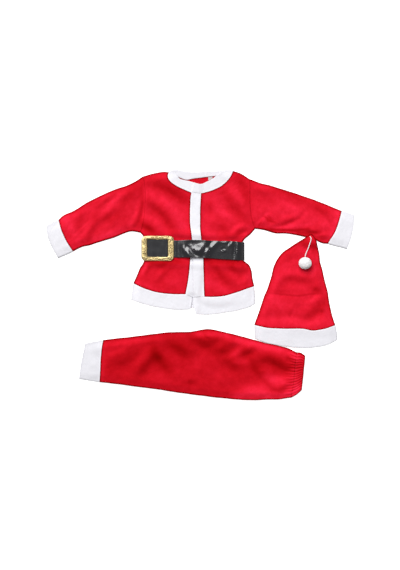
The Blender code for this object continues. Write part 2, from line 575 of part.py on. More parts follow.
def add_collar(scene, white):
    across, around = spread((0, 1), (2,)), spread((0, 0.84, 1), (6, 2))
    outer = joined((edge(NECK_LEFT), straight(NECK_LEFT[-1], LAP_END_UNDER)), (0, 0.84, 1))
    left = Patch(edge(SHOULDER_END_LEFT), straight(LAP_END_UNDER, COLLAR_INNER_LEFT[-1]), outer,
                 edge(COLLAR_INNER_LEFT))
    add_panel("collar_front_left", left, across, around, front_low, TRIM, white, scene)
    outer = joined((edge(NECK_RIGHT), straight(NECK_RIGHT[-1], LAP_END_OVER)), (0, 0.84, 1))
    right = Patch(edge(SHOULDER_END_RIGHT), straight(COLLAR_INNER_RIGHT[-1], LAP_END_OVER),
                  edge(COLLAR_INNER_RIGHT), outer)
    add_panel("collar_front_right", right, across, around, over_low, TRIM, white, scene)
    back = Patch(edge(COLLAR_TOP), edge(BACK_NECK), straight(*COLLAR_BACK_LEFT), straight(*COLLAR_BACK_RIGHT))
    add_panel("collar_back", back, spread((0, 1), (9,)), across, back_low, TRIM, white, scene)


def add_tag(scene, tag_look):
    upper_left, upper_right, lower_left, lower_right = TAG_CORNERS
    tag = Patch(straight(upper_left, upper_right), straight(lower_left, lower_right),
                straight(upper_left, lower_left), straight(upper_right, lower_right))
    steps = spread((0, 1), (2,))
    add_panel("neck_tag", tag, steps, steps, tag_low, TAG_THICK, tag_look, scene)


# ---------------------------------------------------------------- the belt
def belt_front_low(x):
    """Underside of the front stretch: over the front panels, and one trim wall higher over the plackets."""
    rise_from, up_at, fall_from, down_at = BELT_OVER_PLACKETS
    over = smoothstep((x - rise_from) / (up_at - rise_from))
    over = over * (1.0 - smoothstep((x - fall_from) / (down_at - fall_from)))
    return LAYER + CLOTH + BELT_THICK + 2.0 * BELT_CLEAR + (TRIM + AIR + BUCKLE_CLEAR) * over


def strap_profile(name, face=()):
    """x, z up one turn, along the face and down the other turn."""
    wall, foot, corner_low, inset, corner_high = BELT_TURNS[name]
    left, right = BELT_LEFT + wall, BELT_RIGHT - wall
    rows = [(left, foot), (left, corner_low), (left + inset, corner_high)]
    rows += list(face)
    rows += [(right - inset, corner_high), (right, corner_low), (right, foot)]
    return np.array(rows).T


def add_strap(name, outer, inner, black, scene):
    """Each profile carried across the strap's width, with side strips between the two."""
    sheets = []
    for x, z in (outer, inner):
        sheets.append(np.array([np.column_stack((x, np.interp(x, line[:, 1], line[:, 2]), z))
                                for line in (edge(BELT_TOP), edge(BELT_BOTTOM))]))
    return add_body(name, sheets + rim(*sheets), black, scene)


def add_belt(scene, black):
    """Two stretches whose turned ends meet face to face in the turn at each side."""
    reach = BELT_THICK + 1.0
    xs = np.linspace(BELT_LEFT + reach, BELT_RIGHT - reach, BELT_FACE_STEPS + 1)
    outer = strap_profile("front outer", [(x, belt_front_low(x) + BELT_THICK) for x in xs])
    inner = strap_profile("front inner", [(x, belt_front_low(x)) for x in xs])
    drill_holes(add_strap("belt_front", outer, inner, black, scene), scene)
    add_strap("belt_back", strap_profile("back outer"), strap_profile("back inner"), black, scene)


def drill_holes(strap, scene):
    """Four round holes for the tongue, cut along the strap's middle line."""
    mesh = bmesh.new()
    for x in BELT_HOLES_X:
        centre = (x * MM, float(belt_middle(x)) * MM, (belt_front_low(x) + BELT_THICK) * MM)
        made = bmesh.ops.create_cone(mesh, cap_ends=True, segments=10, radius1=BELT_HOLE_RADIUS * MM,
                                     radius2=BELT_HOLE_RADIUS * MM, depth=5.0 * BELT_THICK * MM)
        bmesh.ops.translate(mesh, verts=made["verts"], vec=centre)
    data = bpy.data.meshes.new("belt_hole_cutter")
    mesh.to_mesh(data)
    mesh.free()
    cutter = bpy.data.objects.new("belt_hole_cutter", data)
    scene.collection.objects.link(cutter)
    cutter.hide_render = True
    cutter.display_type = "WIRE"
    cut = strap.modifiers.new("holes", "BOOLEAN")
    cut.operation = "DIFFERENCE"
    cut.object = cutter


def frame_loop(centre, half, radius, nubs=()):
    """A rounded rectangle, anticlockwise from its right side, with a small point inwards on some sides."""
    corners = ((1, 1, 0), (-1, 1, 90), (-1, -1, 180), (1, -1, 270))
    sides = ("right", "top", "left", "bottom")
    normals = ((1, 0), (0, 1), (-1, 0), (0, -1))
    points = []
    for side, (sx, sy, start), normal in zip(sides, corners, normals):
        reach = half[0] if normal[0] else half[1]
        for offset, share in NUB_SHAPE:
            inward = NUB_REACH * share * (side in nubs)
            x = normal[0] * (reach - inward) - normal[1] * offset
            y = normal[1] * (reach - inward) + normal[0] * offset
            points.append((x, y))
        for angle in np.radians(np.linspace(start, start + 90, 5)):
            points.append((sx * (half[0] - radius) + radius * math.cos(angle),
                           sy * (half[1] - radius) + radius * math.sin(angle)))
    return np.array(points) + np.array(centre)


def add_buckle(scene, gold):
    """A cast frame: loops from the outer foot over the domed face to the inner foot, and back below."""
    low = belt_front_low(BUCKLE_CENTRE[0]) + BELT_THICK + BUCKLE_CLEAR
    outer = frame_loop(BUCKLE_CENTRE, BUCKLE_HALF, BUCKLE_RADIUS)
    inner = frame_loop(WINDOW_CENTRE, WINDOW_HALF, WINDOW_RADIUS, nubs=("top", "left", "bottom"))
    loops = []
    for across, up in BUCKLE_SECTION:
        loop = outer + (inner - outer) * across
        loops.append(raised(loop, np.full(len(loop), low + BUCKLE_THICK * up)))
    loops.append(loops[0])
    around = np.array([np.concatenate((loop, loop[:1])) for loop in loops])
    add_body("belt_buckle", [around], gold, scene)


# ---------------------------------------------------------------- the hat
def add_hat(scene, red, white):
    cone = Patch(edge(HAT_TIP), edge(HAT_SEAM), edge(HAT_LEFT), edge(HAT_RIGHT))
    rows = np.append(0.0, 0.012 + 0.988 * spread((0, 0.12, 1), (3, 8)))
    add_tube("hat_cone", cone, ACROSS_TUBE, rows, hat_height, CLOTH, red, scene, closed=True, base=hat_base)
    band = Patch(edge(HAT_SEAM), edge(HAT_BRIM), edge(HAT_BRIM_LEFT), edge(HAT_BRIM_RIGHT))
    add_tube("hat_band", band, ACROSS_TUBE, spread((0, 1), (3,)), brim_height, TRIM, white, scene)


def hat_face(x, y):
    """The highest point of the hat's upper face within a cord's reach of x, y."""
    near = np.linspace(-6.0, 6.0, 5)
    return float(np.max(hat_base(x, y + near) + hat_height(x + 0.0 * near, y + near)))


def add_pompom(scene, white):
    centre_z = hat_face(*POMPOM_CENTRE) + ON_HAT + POMPOM_RADIUS * POMPOM_SQUASH
    mesh = bmesh.new()
    bmesh.ops.create_uvsphere(mesh, u_segments=18, v_segments=11, radius=POMPOM_RADIUS * MM)
    bmesh.ops.scale(mesh, verts=mesh.verts, vec=(1.0, 1.0, POMPOM_SQUASH))
    centre = np.array((*POMPOM_CENTRE, centre_z)) * MM
    bmesh.ops.translate(mesh, verts=mesh.verts, vec=centre)
    data = bpy.data.meshes.new("hat_pompom")
    mesh.to_mesh(data)
    mesh.free()
    data.shade_smooth()
    add_object("hat_pompom", data, white, scene)


def add_cord(scene, white):
    """From the hat's tip along its face, then up into the side of the pompom."""
    route = edge(CORD_ROUTE)
    points = along(route, np.linspace(0.0, 1.0, 11))
    data = bpy.data.curves.new("hat_cord", "CURVE")
    data.dimensions = "3D"
    data.bevel_depth = CORD_RADIUS * MM
    data.bevel_resolution = 2
    data.use_fill_caps = True
    line = data.splines.new("POLY")
    line.points.add(len(points) - 1)
    climb = CORD_RISE * smoothstep((np.linspace(0.0, 1.0, len(points)) - 0.72) / 0.28)
    for point, (x, y), rise in zip(line.points, points, climb):
        z = hat_face(x, y) + CORD_RADIUS + ON_HAT + rise
        point.co = (x * MM, y * MM, z * MM, 1.0)
    add_object("hat_cord", data, white, scene)


# ---------------------------------------------------------------- the trousers
def add_trousers(scene, red, white):
    leg = (edge(LEG_TOP), edge(LEG_FOLD), edge(LEG_CUFF_SEAM), edge(CASING_SEAM))
    across, down = spread((0, 1), (16,)), spread((0, 1), (6,))
    add_layers("trouser_leg_under", leg, across, down, LEG_LAYERS, red, scene)
    add_panel("trouser_leg_upper", Patch(*leg), across, down, leg_low, CLOTH, red, scene)
    cuff = (straight(LEG_CUFF_END[0], LEG_CUFF_SEAM[0]), straight(LEG_CUFF_END[-1], LEG_CUFF_SEAM[-1]),
            edge(LEG_CUFF_END), edge(LEG_CUFF_SEAM))
    add_layers("leg_cuff_under", cuff, spread((0, 1), (3,)), down, LEG_LAYERS, white, scene)
    add_panel("leg_cuff_upper", Patch(*cuff), spread((0, 1), (3,)), down, leg_low, TRIM, white, scene)
    casing = (edge(CASING_TOP), edge(CASING_FOLD), edge(CASING_SEAM), edge(WAIST_END))
    add_layers("waist_casing_under", casing, spread((0, 1), (3,)), down, LEG_LAYERS, red, scene)
    two, ridges = spread((0, 1), (2,)), spread((0, 1), (4 * GATHERS,))
    add_panel("waist_casing_upper", Patch(*casing), two, ridges, casing_low, CLOTH, red, scene)


def build():
    for thing in list(bpy.data.objects):
        bpy.data.objects.remove(thing, do_unlink=True)
    scene = bpy.context.scene
    red = material("red_brushed_knit", *RED)
    white = material("white_plush_trim", *WHITE)
    black = material("black_glossy_strap", (0.018, 0.018, 0.02), 0.22)
    gold = material("gold_cast_frame", (0.80, 0.62, 0.26), 0.32, 1.0)
    tag_look = material("plain_neck_tag", (0.80, 0.76, 0.68), 0.7)
    add_body_panels(scene, red)
    add_sleeves(scene, red, white)
    add_plackets(scene, white)
    add_hems(scene, white)
    add_collar(scene, white)
    add_tag(scene, tag_look)
    add_belt(scene, black)
    add_buckle(scene, gold)
    add_hat(scene, red, white)
    add_pompom(scene, white)
    add_cord(scene, white)
    add_trousers(scene, red, white)


build()
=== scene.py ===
"""A toddler's Santa suit laid out flat: belted jacket, hat with a corded pompom, trousers folded in half.

Tables are in millimetres: x along the sleeves, y towards the collar, z up from the surface that it lies on.
Left and right are as seen from above. Each cloth piece is a grid of points between its sewing edges. The
layers below it, a soft puff and the folds give each point its height, and the grid then gets its wall.
"""

import math

import bpy
import numpy as np
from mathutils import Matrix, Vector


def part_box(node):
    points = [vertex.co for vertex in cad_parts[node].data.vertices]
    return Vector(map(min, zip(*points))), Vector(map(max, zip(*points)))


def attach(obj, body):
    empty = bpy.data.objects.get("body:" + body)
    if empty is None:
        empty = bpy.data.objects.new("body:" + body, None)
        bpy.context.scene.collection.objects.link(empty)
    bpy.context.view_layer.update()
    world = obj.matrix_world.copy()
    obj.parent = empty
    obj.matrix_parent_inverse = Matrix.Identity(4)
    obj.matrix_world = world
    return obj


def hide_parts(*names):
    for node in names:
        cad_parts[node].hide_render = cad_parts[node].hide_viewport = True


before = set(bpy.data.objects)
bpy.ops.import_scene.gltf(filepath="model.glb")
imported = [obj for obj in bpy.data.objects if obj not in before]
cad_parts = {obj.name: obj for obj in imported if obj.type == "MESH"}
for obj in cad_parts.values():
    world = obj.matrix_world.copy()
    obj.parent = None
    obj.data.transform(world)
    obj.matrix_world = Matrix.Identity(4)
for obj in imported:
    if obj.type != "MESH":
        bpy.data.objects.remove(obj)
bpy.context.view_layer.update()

MM = 0.001

# ---------------------------------------------------------------- camera
SENSOR = 36.0
LENS = 85.0
VIEW_LENGTH = 1.425     # metres of the table along the view's longer side
VIEW_MIDDLE_X = -0.00075

camera = bpy.data.objects.new("camera", bpy.data.cameras.new("camera"))
camera.data.sensor_width = SENSOR
camera.data.lens = LENS
camera.location = (VIEW_MIDDLE_X, 0.0, VIEW_LENGTH * LENS / SENSOR)
camera.rotation_euler = (0.0, 0.0, 0.0)
bpy.context.scene.collection.objects.link(camera)
bpy.context.scene.camera = camera

# ---------------------------------------------------------------- driving dimensions
CLOTH = 1.8             # wall of the red brushed knit
TRIM = 2.0              # wall of the white trim that lies below another layer
PLUSH = 2.6             # wall of the white trim on top, with its pile
TAPE = 0.9              # wall of the neck tag
AIR = 0.5               # air between two layers that lie on each other
LAP_AIR = 0.3           # the same, where the right front laps over the left
LAP_RUN = 15.0          # how far past the under placket the right front comes down again
LAYER = CLOTH + AIR     # from the underside of one layer to the underside of the next
EDGE_LEVEL = 2.05       # height of a folded or sewn outer edge
EDGE_ROUND = 3.4        # how far in the rounding of such an edge reaches
LIP = 0.7               # how far in the rounding of a piece's own edge reaches
LEAST_LIP = 0.05        # share of the wall just inside that edge

GRID = 2.2              # spacing of the cloth's points
TRIM_GRID = 1.5         # and of the trim's
NEAR_EDGE = (0.0, 0.18, 0.55, 1.1, 1.9, 3.0, 4.4)       # closer lines along each edge
PILE = 0.09             # unevenness of the trim's face

# Painted shade in the cloth's colour: above 0 darker, below 0 lighter, which is painted light.
RIM_SHADE = 0.95        # along outer edges and trim seams
RIM_REACH = 2.4
LOWER_RIM = 0.6         # more where the edge turns away from the light
TRIM_LIGHT = 1.1        # painted light: the trim is lighter along its seams
SEAM_SHADE = 0.2        # a little along every red piece's own edge
SEAM_REACH = 1.2
INSIDE_SHADE = 0.16     # inside the jacket's back
NECK_SHADE = 0.9        # and more along its neck seam
NECK_REACH = 2.0
SKIRT_SHADE = 0.1       # below the belt
SKIRT_TOP = 60.0        # y up to which it is full, and the run over which it fades
SKIRT_RUN = 20.0
HAT_TRIM_SHADE = 0.3    # these two bands, and the trousers, lie away from the light
LEG_TRIM_SHADE = 0.5
LEG_SHADE = 0.32

PUFF = 3.4              # how far the middle of a flat tube stands up
PUFF_REACH = 20.0       # from an edge to the full puff
FOLD_REACH = 3.4        # how far from its line a fold is worked out, and a patch of painted shade: in half widths
TONE_REACH = 4.2
FOLD_SOFT = 3.0         # added to a fold's half width: narrow folds get less painted shade
LEG_PUFF = 4.0
FLAT_BY_HEM = (0.45, 45.0)      # share of the puff that is left on a line, and the reach to the full puff
FLAT_BY_OPENING = (0.1, 16.0)
FLAT_BY_LEG_ENDS = (0.3, 40.0)
RIPPLES = {
    # for: seed, shortest wave, longest wave, height, number of waves
    "jacket": (3, 28.0, 95.0, 0.6, 16),
    "jacket fine": (4, 7.0, 22.0, 0.13, 24),
    "hat": (11, 30.0, 90.0, 0.5, 16),
    "hat fine": (12, 7.0, 22.0, 0.12, 24),
    "trousers": (21, 30.0, 100.0, 0.7, 16),
    "trousers fine": (22, 7.0, 22.0, 0.13, 24),
    "edges in x": (31, 24.0, 70.0, 0.28, 16),
    "edges in y": (32, 24.0, 70.0, 0.28, 16),
    "folded sides": (41, 20.0, 70.0, 0.4, 16),
    "strap": (51, 10.0, 40.0, 0.12, 16),
    "buckle lines": (61, 9.0, 30.0, 0.5, 16),
    "buckle depth": (62, 5.0, 24.0, 0.5, 16),
}

BELT_THICK = 2.0
BELT_CLEAR = 0.4
OVER_TRIM_CLEAR = 0.35  # more air where it crosses the two laps of trim
BELT_LOOSE = 2.8        # how far the front stretch stands off
LOOSE_PAST_BUCKLE = 14.0        # reached so far from the buckle's edge
LOOSE_BEFORE_TURN = (6.0, 10.0)         # from the right turn: none up to here, and run to the full height
BELT_LEFT = -142.0      # outer faces of the two turns
BELT_RIGHT = 110.3
BELT_MARGIN = 8.0       # the cloth feels the belt this far past its turns
BELT_MIDDLE = ((-142.0, 91.2), (-65.0, 90.2), (110.3, 83.8))      # x, y of the strap's middle line
BELT_OVER_PLACKETS = (-42.0, -28.0, 12.0, 28.0)                   # x: rises from, up at, falls from, down at
BELT_TURN = 2.9         # radius of its corners, in the middle of its wall
BELT_LIP = 0.35
BELT_FRONT_FOOT = 4.55  # where the ends of the two stretches meet
BELT_BACK_FOOT = 4.4
BACK_OVER_BELT = (31.0, 12.0)   # cloth over its back stretch: half width of the flat part, and ramp
FRONT_OVER_BELT = (37.0, 16.0)
CINCH = (23.0, 15.0)            # cloth held down by its front stretch, likewise
BELT_HOLE_RADIUS = 2.0
BELT_HOLE_DEPTH = 1.4
HOLE_CUT_TOP = 26.0     # the cutters end above everything
BELT_HOLE_LIP = (2.9, 0.7, 0.4)         # the rim that the punch raised: radius, half width, height
BELT_HOLES_X = (-15.5, 22.5, 56.5, 90.5)

BUCKLE_CENTRE = (-106.25, 91.25)
BUCKLE_HALF = (41.0, 31.75)
BUCKLE_RADIUS = 12.0
WINDOW_CENTRE = (-106.75, 92.0)
WINDOW_HALF = (25.5, 21.5)
WINDOW_RADIUS = 3.0
SIDE_POINTS = 90        # of its outline, and FACE_POINTS from the outer edge to the inner one
CORNER_POINTS = 33
FACE_POINTS = 48
DOME_HEIGHT = 4.2       # from its flat underside to the top of its face
BUCKLE_UNDERSIDE = (0.1, 0.35, 0.65, 0.9)       # shares from the outer to the inner edge
BUCKLE_CLEAR = 0.3
NUB_REACH = 1.4         # the three small points in the window
NUB_HALF = 1.5
CUT_DEPTH = 0.9         # the engraved lines
CUT_LINES = ((0.80, 0.60, 4.1, 1.0), (0.50, -0.87, 5.3, -1.0))    # x, y of their direction; pitch; bend
CUT_BETWEEN = (0.12, 0.86, 0.08)        # shares from the outer to the inner edge: from, to, ramp

LEG_LAYERS = 3          # hidden layers of the folded trousers
LEG_PITCH = 2.1         # one hidden layer and the air over it
LEG_EDGE_DROP = 0.3     # the top layer's edges hang this much below its middle
SIDE_BULGE = 1.5        # how far a hidden layer's side bulges
SIDE_INSET = 0.7        # the bulge stands this far inside the outline
FACE_INSET = 3.0        # its flat faces end this far inside the outline
GATHERS = 16            # ridges of the elastic casing
GATHER_HEIGHT = 1.2
GATHER_REACH = 26.0     # how far they run on into the leg
GATHER_ENDS = 0.06      # share of the width over which they fade at its two edges
GATHER_SHADE = 0.9

CORD_RADIUS = 1.05
CORD_CLEAR = 0.3        # over the hat's face
CORD_RISE = 3.0         # its last stretch climbs to the pompom's side
CORD_RISE_FROM = 0.72   # share of its length
CORD_PITCH = 6.5        # one turn of its twist
CORD_OUTER = 1.08 * CORD_RADIUS         # over its two strands
CORD_LOBES = 0.24       # depth of the groove between them, as a share
POMPOM_SHAPE = (0.97, 0.90)     # its width and depth against its CAD ball
POMPOM_SHIFT = -1.2     # and its place in x
POMPOM_SEAT = 0.84      # height of its centre over the hat, against its CAD ball
POMPOM_CORE = 0.96      # size of its core, against its radius
POMPOM_DENT = (0.85, 18.0)      # share of the hat's puff that it takes away, and reach
YARN_ENDS = 3400
YARN_FROM = 0.86        # where its yarn starts and ends, against its radius
YARN_TO = 0.985
YARN_UNEVEN = 0.012
YARN_SPREAD = 0.12      # how unevenly the yarn is spread, and how far each end bends
YARN_BEND = 0.13
YARN_RADII = (0.5, 0.6, 0.62, 0.4)
ROD_TURN = 0.4          # radians that the sides of yarn and stitches are turned about their length
ON_HAT = (0.3, 0.4)     # least clearance of its core and of its yarn over the hat
STITCH_PITCH = 3.3
STITCH_LENGTH = 2.3
STITCH_RADII = (0.12, 0.24, 0.264, 0.24, 0.12)
STITCH_ARCH = 0.3
STITCH_SUNK = 0.15      # how deep its ends lie in the cloth
CASING_STITCH_AT = 1.7  # from the casing's seam
TIP_LIFT = 4.8          # the hat's tip lies on the sleeve
TIP_LIFT_FROM = 84.0    # y where it starts to rise
TIP_LIFT_RUN = 24.0
TAG_AIR = 0.3
TAG_CURL = 0.5          # its upper and lower edges stand up this much
TAG_HALF = 5.0

LIGHT_SIDE = (-0.42, 0.91)      # the side that the main light comes from: folds are listed as falls from it

# ---------------------------------------------------------------- sewing edges: rows of x, y
OVERARM_LEFT = ((-143, 271), (-163.5, 257), (-217, 236.5), (-278, 208), (-318.5, 183.5), (-343, 172.5),
                (-354, 162.5))
UNDERARM_LEFT = ((-150, 131.2), (-169, 134.5), (-219, 117.5), (-255, 107), (-278, 99.5), (-293.5, 96),
                 (-318.5, 84))
ARMHOLE_LEFT = ((-143, 271), (-139.5, 256), (-137, 231), (-138.5, 190.5), (-143.5, 150), (-150, 131.2))
CUFF_SEAM_LEFT = ((-354, 162.5), (-345.5, 133.5), (-334, 109), (-318.5, 84))
CUFF_END_LEFT = ((-384.5, 149), (-380, 116.5), (-366.5, 86), (-356, 67.5))
OVERARM_RIGHT = ((123, 264), (144.5, 255.5), (176.5, 247.5), (216, 235), (252, 223.5), (306, 204), (334, 192),
                 (353.5, 184))
UNDERARM_RIGHT = ((137.5, 141), (162.5, 137), (186.5, 130), (216, 129), (246, 124), (288, 113), (306, 104.5),
                  (319, 103.5))
ARMHOLE_RIGHT = ((123, 264), (124, 240), (123.5, 208), (126, 180), (131, 157), (137.5, 141))
CUFF_SEAM_RIGHT = ((353.5, 184), (347.5, 164), (338, 136), (319, 103.5))
CUFF_END_RIGHT = ((384.5, 175), (383, 148), (374, 112), (366, 90.5))

SHOULDER_LEFT = ((-143, 271), (-122.5, 277), (-102, 281.5), (-91.5, 282.8), (-78.5, 282))
SHOULDER_RIGHT = ((82.5, 285), (101, 278.5), (123, 264))
NECK_LEFT = ((-78.5, 282), (-81, 274.5), (-80, 266), (-72.5, 256), (-57, 246), (-39, 237.5), (-22, 230))
NECK_RIGHT = ((82.5, 285), (76, 271.5), (67.5, 259.5), (55.5, 249), (40.5, 240.5), (21, 233), (2, 228.5))
BACK_NECK = ((-78.5, 282), (-66, 274), (-50, 267.3), (-34, 262.6), (-15.5, 266), (6, 269), (38, 272.5),
             (60, 277), (82.5, 285))
SIDE_LEFT = ((-150, 131.2), (-144, 124.5), (-139.3, 117), (-138.6, 92), (-138.8, 64), (-143.5, 52.5),
             (-149, 45.5), (-158, 24.5), (-167, 4))
SIDE_RIGHT = ((137.5, 141), (123.5, 125.5), (110, 114), (106, 107.5), (105.6, 98), (105.6, 70), (108, 61),
              (115, 55.5), (122, 49.5), (127.5, 36.5), (130.5, 16), (134.5, -2.5))
FRONT_EDGE_LEFT = ((-22, 230), (-24, 217.5), (-25, 197.5), (-25.5, 177.5), (-24.5, 150), (-22, 129.5),
                   (-20.7, 112), (-24.5, 67), (-26.5, 44), (-30, 14), (-37, -23.5))
FRONT_EDGE_RIGHT = ((2, 228.5), (0, 204), (-0.5, 177), (-0.5, 150), (1.2, 123), (2, 112), (7, 65),
                    (8, 29), (10.5, -29.5))
HEM_SEAM_LEFT = ((-167, 4), (-142.5, -7.5), (-115.5, -16.5), (-82, -22), (-37, -23.5))
HEM_SEAM_RIGHT = ((10.5, -29.5), (30, -30), (60, -27), (90.5, -18.5), (134.5, -2.5))
HEM_SEAM_BACK = ((-167, 4), (-110, -13), (-40, -21), (40, -21), (100, -13), (134.5, -2.5))

PLACKET_UNDER_EDGE = ((-5, 229), (-5.5, 200), (-5.5, 150), (-4, 112), (0, 66), (-3, 20), (-12, -33.5))
PLACKET_OVER_EDGE = FRONT_EDGE_LEFT[:6] + ((-20.2, 112), (-18.5, 65), (-17, 20), (-17.5, -29.5))
COLLAR_INNER_LEFT = ((-65, 286), (-59, 275), (-52, 265.3), (-41, 262), (-32, 260.3), (-15.5, 255.5),
                     (-2, 252))
COLLAR_INNER_RIGHT = ((64, 286.8), (52, 280), (39, 272.5), (31.5, 266.5), (20.5, 260), (1, 252),
                      (-15.5, 255.5))
COLLAR_TOP = ((-78.5, 282), (-74, 285), (-65, 287), (-50, 284.5), (-35, 281.5), (3, 281.5), (40.5, 283.5),
              (62, 286.8), (74, 286.6), (82.5, 285))
HEM_END_LEFT = ((-173, -36.5), (-142.5, -47), (-112.5, -54.5), (-82, -59.5), (-52, -62), (-24.5, -60.3))
HEM_END_RIGHT = ((-11, -72.5), (10.5, -74), (37.5, -72.5), (68, -68), (98, -62), (125.5, -53.5), (137, -47))
HEM_END_BACK = ((-173, -36.5), (-112, -50), (-30, -56.5), (40, -58.5), (100, -55), (137, -47))
HEM_OPEN_LEFT = ((-20.5, -30.7), (-22.3, -50), (-24.5, -60.3))
HEM_OPEN_RIGHT = ((-18.5, -30.5), (-16.3, -54.5), (-11, -72.5))
LAP_END_UNDER = (-2, 228.8)
LAP_END_OVER = (-21.5, 230.2)
SHOULDER_END_LEFT = (NECK_LEFT[0], (-74, 285), COLLAR_INNER_LEFT[0])
SHOULDER_END_RIGHT = (COLLAR_INNER_RIGHT[0], (75, 286.8), NECK_RIGHT[0])
COLLAR_BACK_LEFT = ((-77, 284), (-78.5, 282))
COLLAR_BACK_RIGHT = ((82.3, 286.5), (82.5, 285))
TAG_CORNERS = ((19.5, 269), (30, 270.3), (20.2, 260.8), (30, 265.2))        # upper two, lower two

BELT_TOP = ((-142, 113.5), (-108, 114.4), (-80, 113.2), (-65, 111.5), (-21.5, 112.5), (3, 112), (37.5, 110),
            (83, 109), (110.3, 106.5))
BELT_BOTTOM = ((-142, 69.5), (-65, 68.5), (-38, 68.5), (7.5, 67.5), (53, 64.5), (110.3, 61))

HAT_LEFT = ((270, 124), (262, 117.5), (244, 106.5), (223.5, 93), (207, 81.5), (192.5, 63), (184, 44.5),
            (178, 21.5), (167.5, -12), (159, -32), (147, -67.5), (135.5, -100))
HAT_RIGHT = ((283, 122), (288, 112.5), (292, 97), (296, 79), (299.5, 53), (303.5, 40), (310.5, 9), (318, -20),
             (319.5, -30), (327, -70), (336.5, -101))
HAT_TIP = ((270, 124), (276.5, 126.5), (283, 122))
HAT_SEAM = ((135.5, -100), (162, -106), (209, -109), (254, -109.5), (281.5, -113.5), (304, -111),
            (336.5, -101))
HAT_BRIM = ((137, -134.5), (164, -144.2), (199, -151.5), (229, -155.5), (254, -157), (287.5, -155.5),
            (317.5, -149), (341.5, -138))
HAT_BRIM_LEFT = ((135.5, -100), (136.5, -118), (137, -134.5))
HAT_BRIM_RIGHT = ((336.5, -101), (340, -120), (341.5, -138))

LEG_TOP = ((-241.5, -137), (-150, -126.5), (-86.5, -118.5), (-19, -115.5), (21, -109.5), (57, -116.5),
           (97, -126.5), (137, -137.5), (165, -144.8), (199, -152.2), (220, -158.5), (240.5, -167.5))
LEG_FOLD = ((-251, -242), (-126.5, -258), (-15, -274), (73, -284), (137, -287.2), (168, -285.7), (199, -285),
            (226.5, -281))
LEG_CUFF_SEAM = ((-241.5, -137), (-245.5, -155), (-248, -185), (-251, -242))
LEG_CUFF_END = ((-287.5, -146), (-292, -167), (-298, -197), (-303, -234))
CASING_SEAM = ((240.5, -167.5), (236, -200), (232.5, -245), (226.5, -281))
WAIST_END = ((262, -176.5), (259, -210), (256, -236), (253.5, -262))
CASING_TOP = (CASING_SEAM[0], (250, -168.5), WAIST_END[0])
CASING_FOLD = (CASING_SEAM[-1], (241, -273), WAIST_END[-1])
CUFF_STITCH_LINE = ((-283.5, -150), (-288.5, -167), (-293.5, -200), (-297, -232))

CORD_ROUTE = ((273, 121.5), (276, 116), (275, 110), (272.5, 103), (268.9, 91.5), (264.2, 80.5), (262.2, 75),
              (261.1, 69.4))

# Shares along an edge that is joined from several, where one ends and the next starts.
ARMHOLE_TO_SIDE = (0, 0.46, 1)
NECK_TO_FRONT = (0, 0.22, 1)
SHOULDER_NECK_SHOULDER = (0, 0.24, 0.84, 1)
HEM_TO_OPENING = (0, 0.88, 1)
OPENING_TO_HEM = (0, 0.16, 1)
NECK_TO_LAP = (0, 0.84, 1)
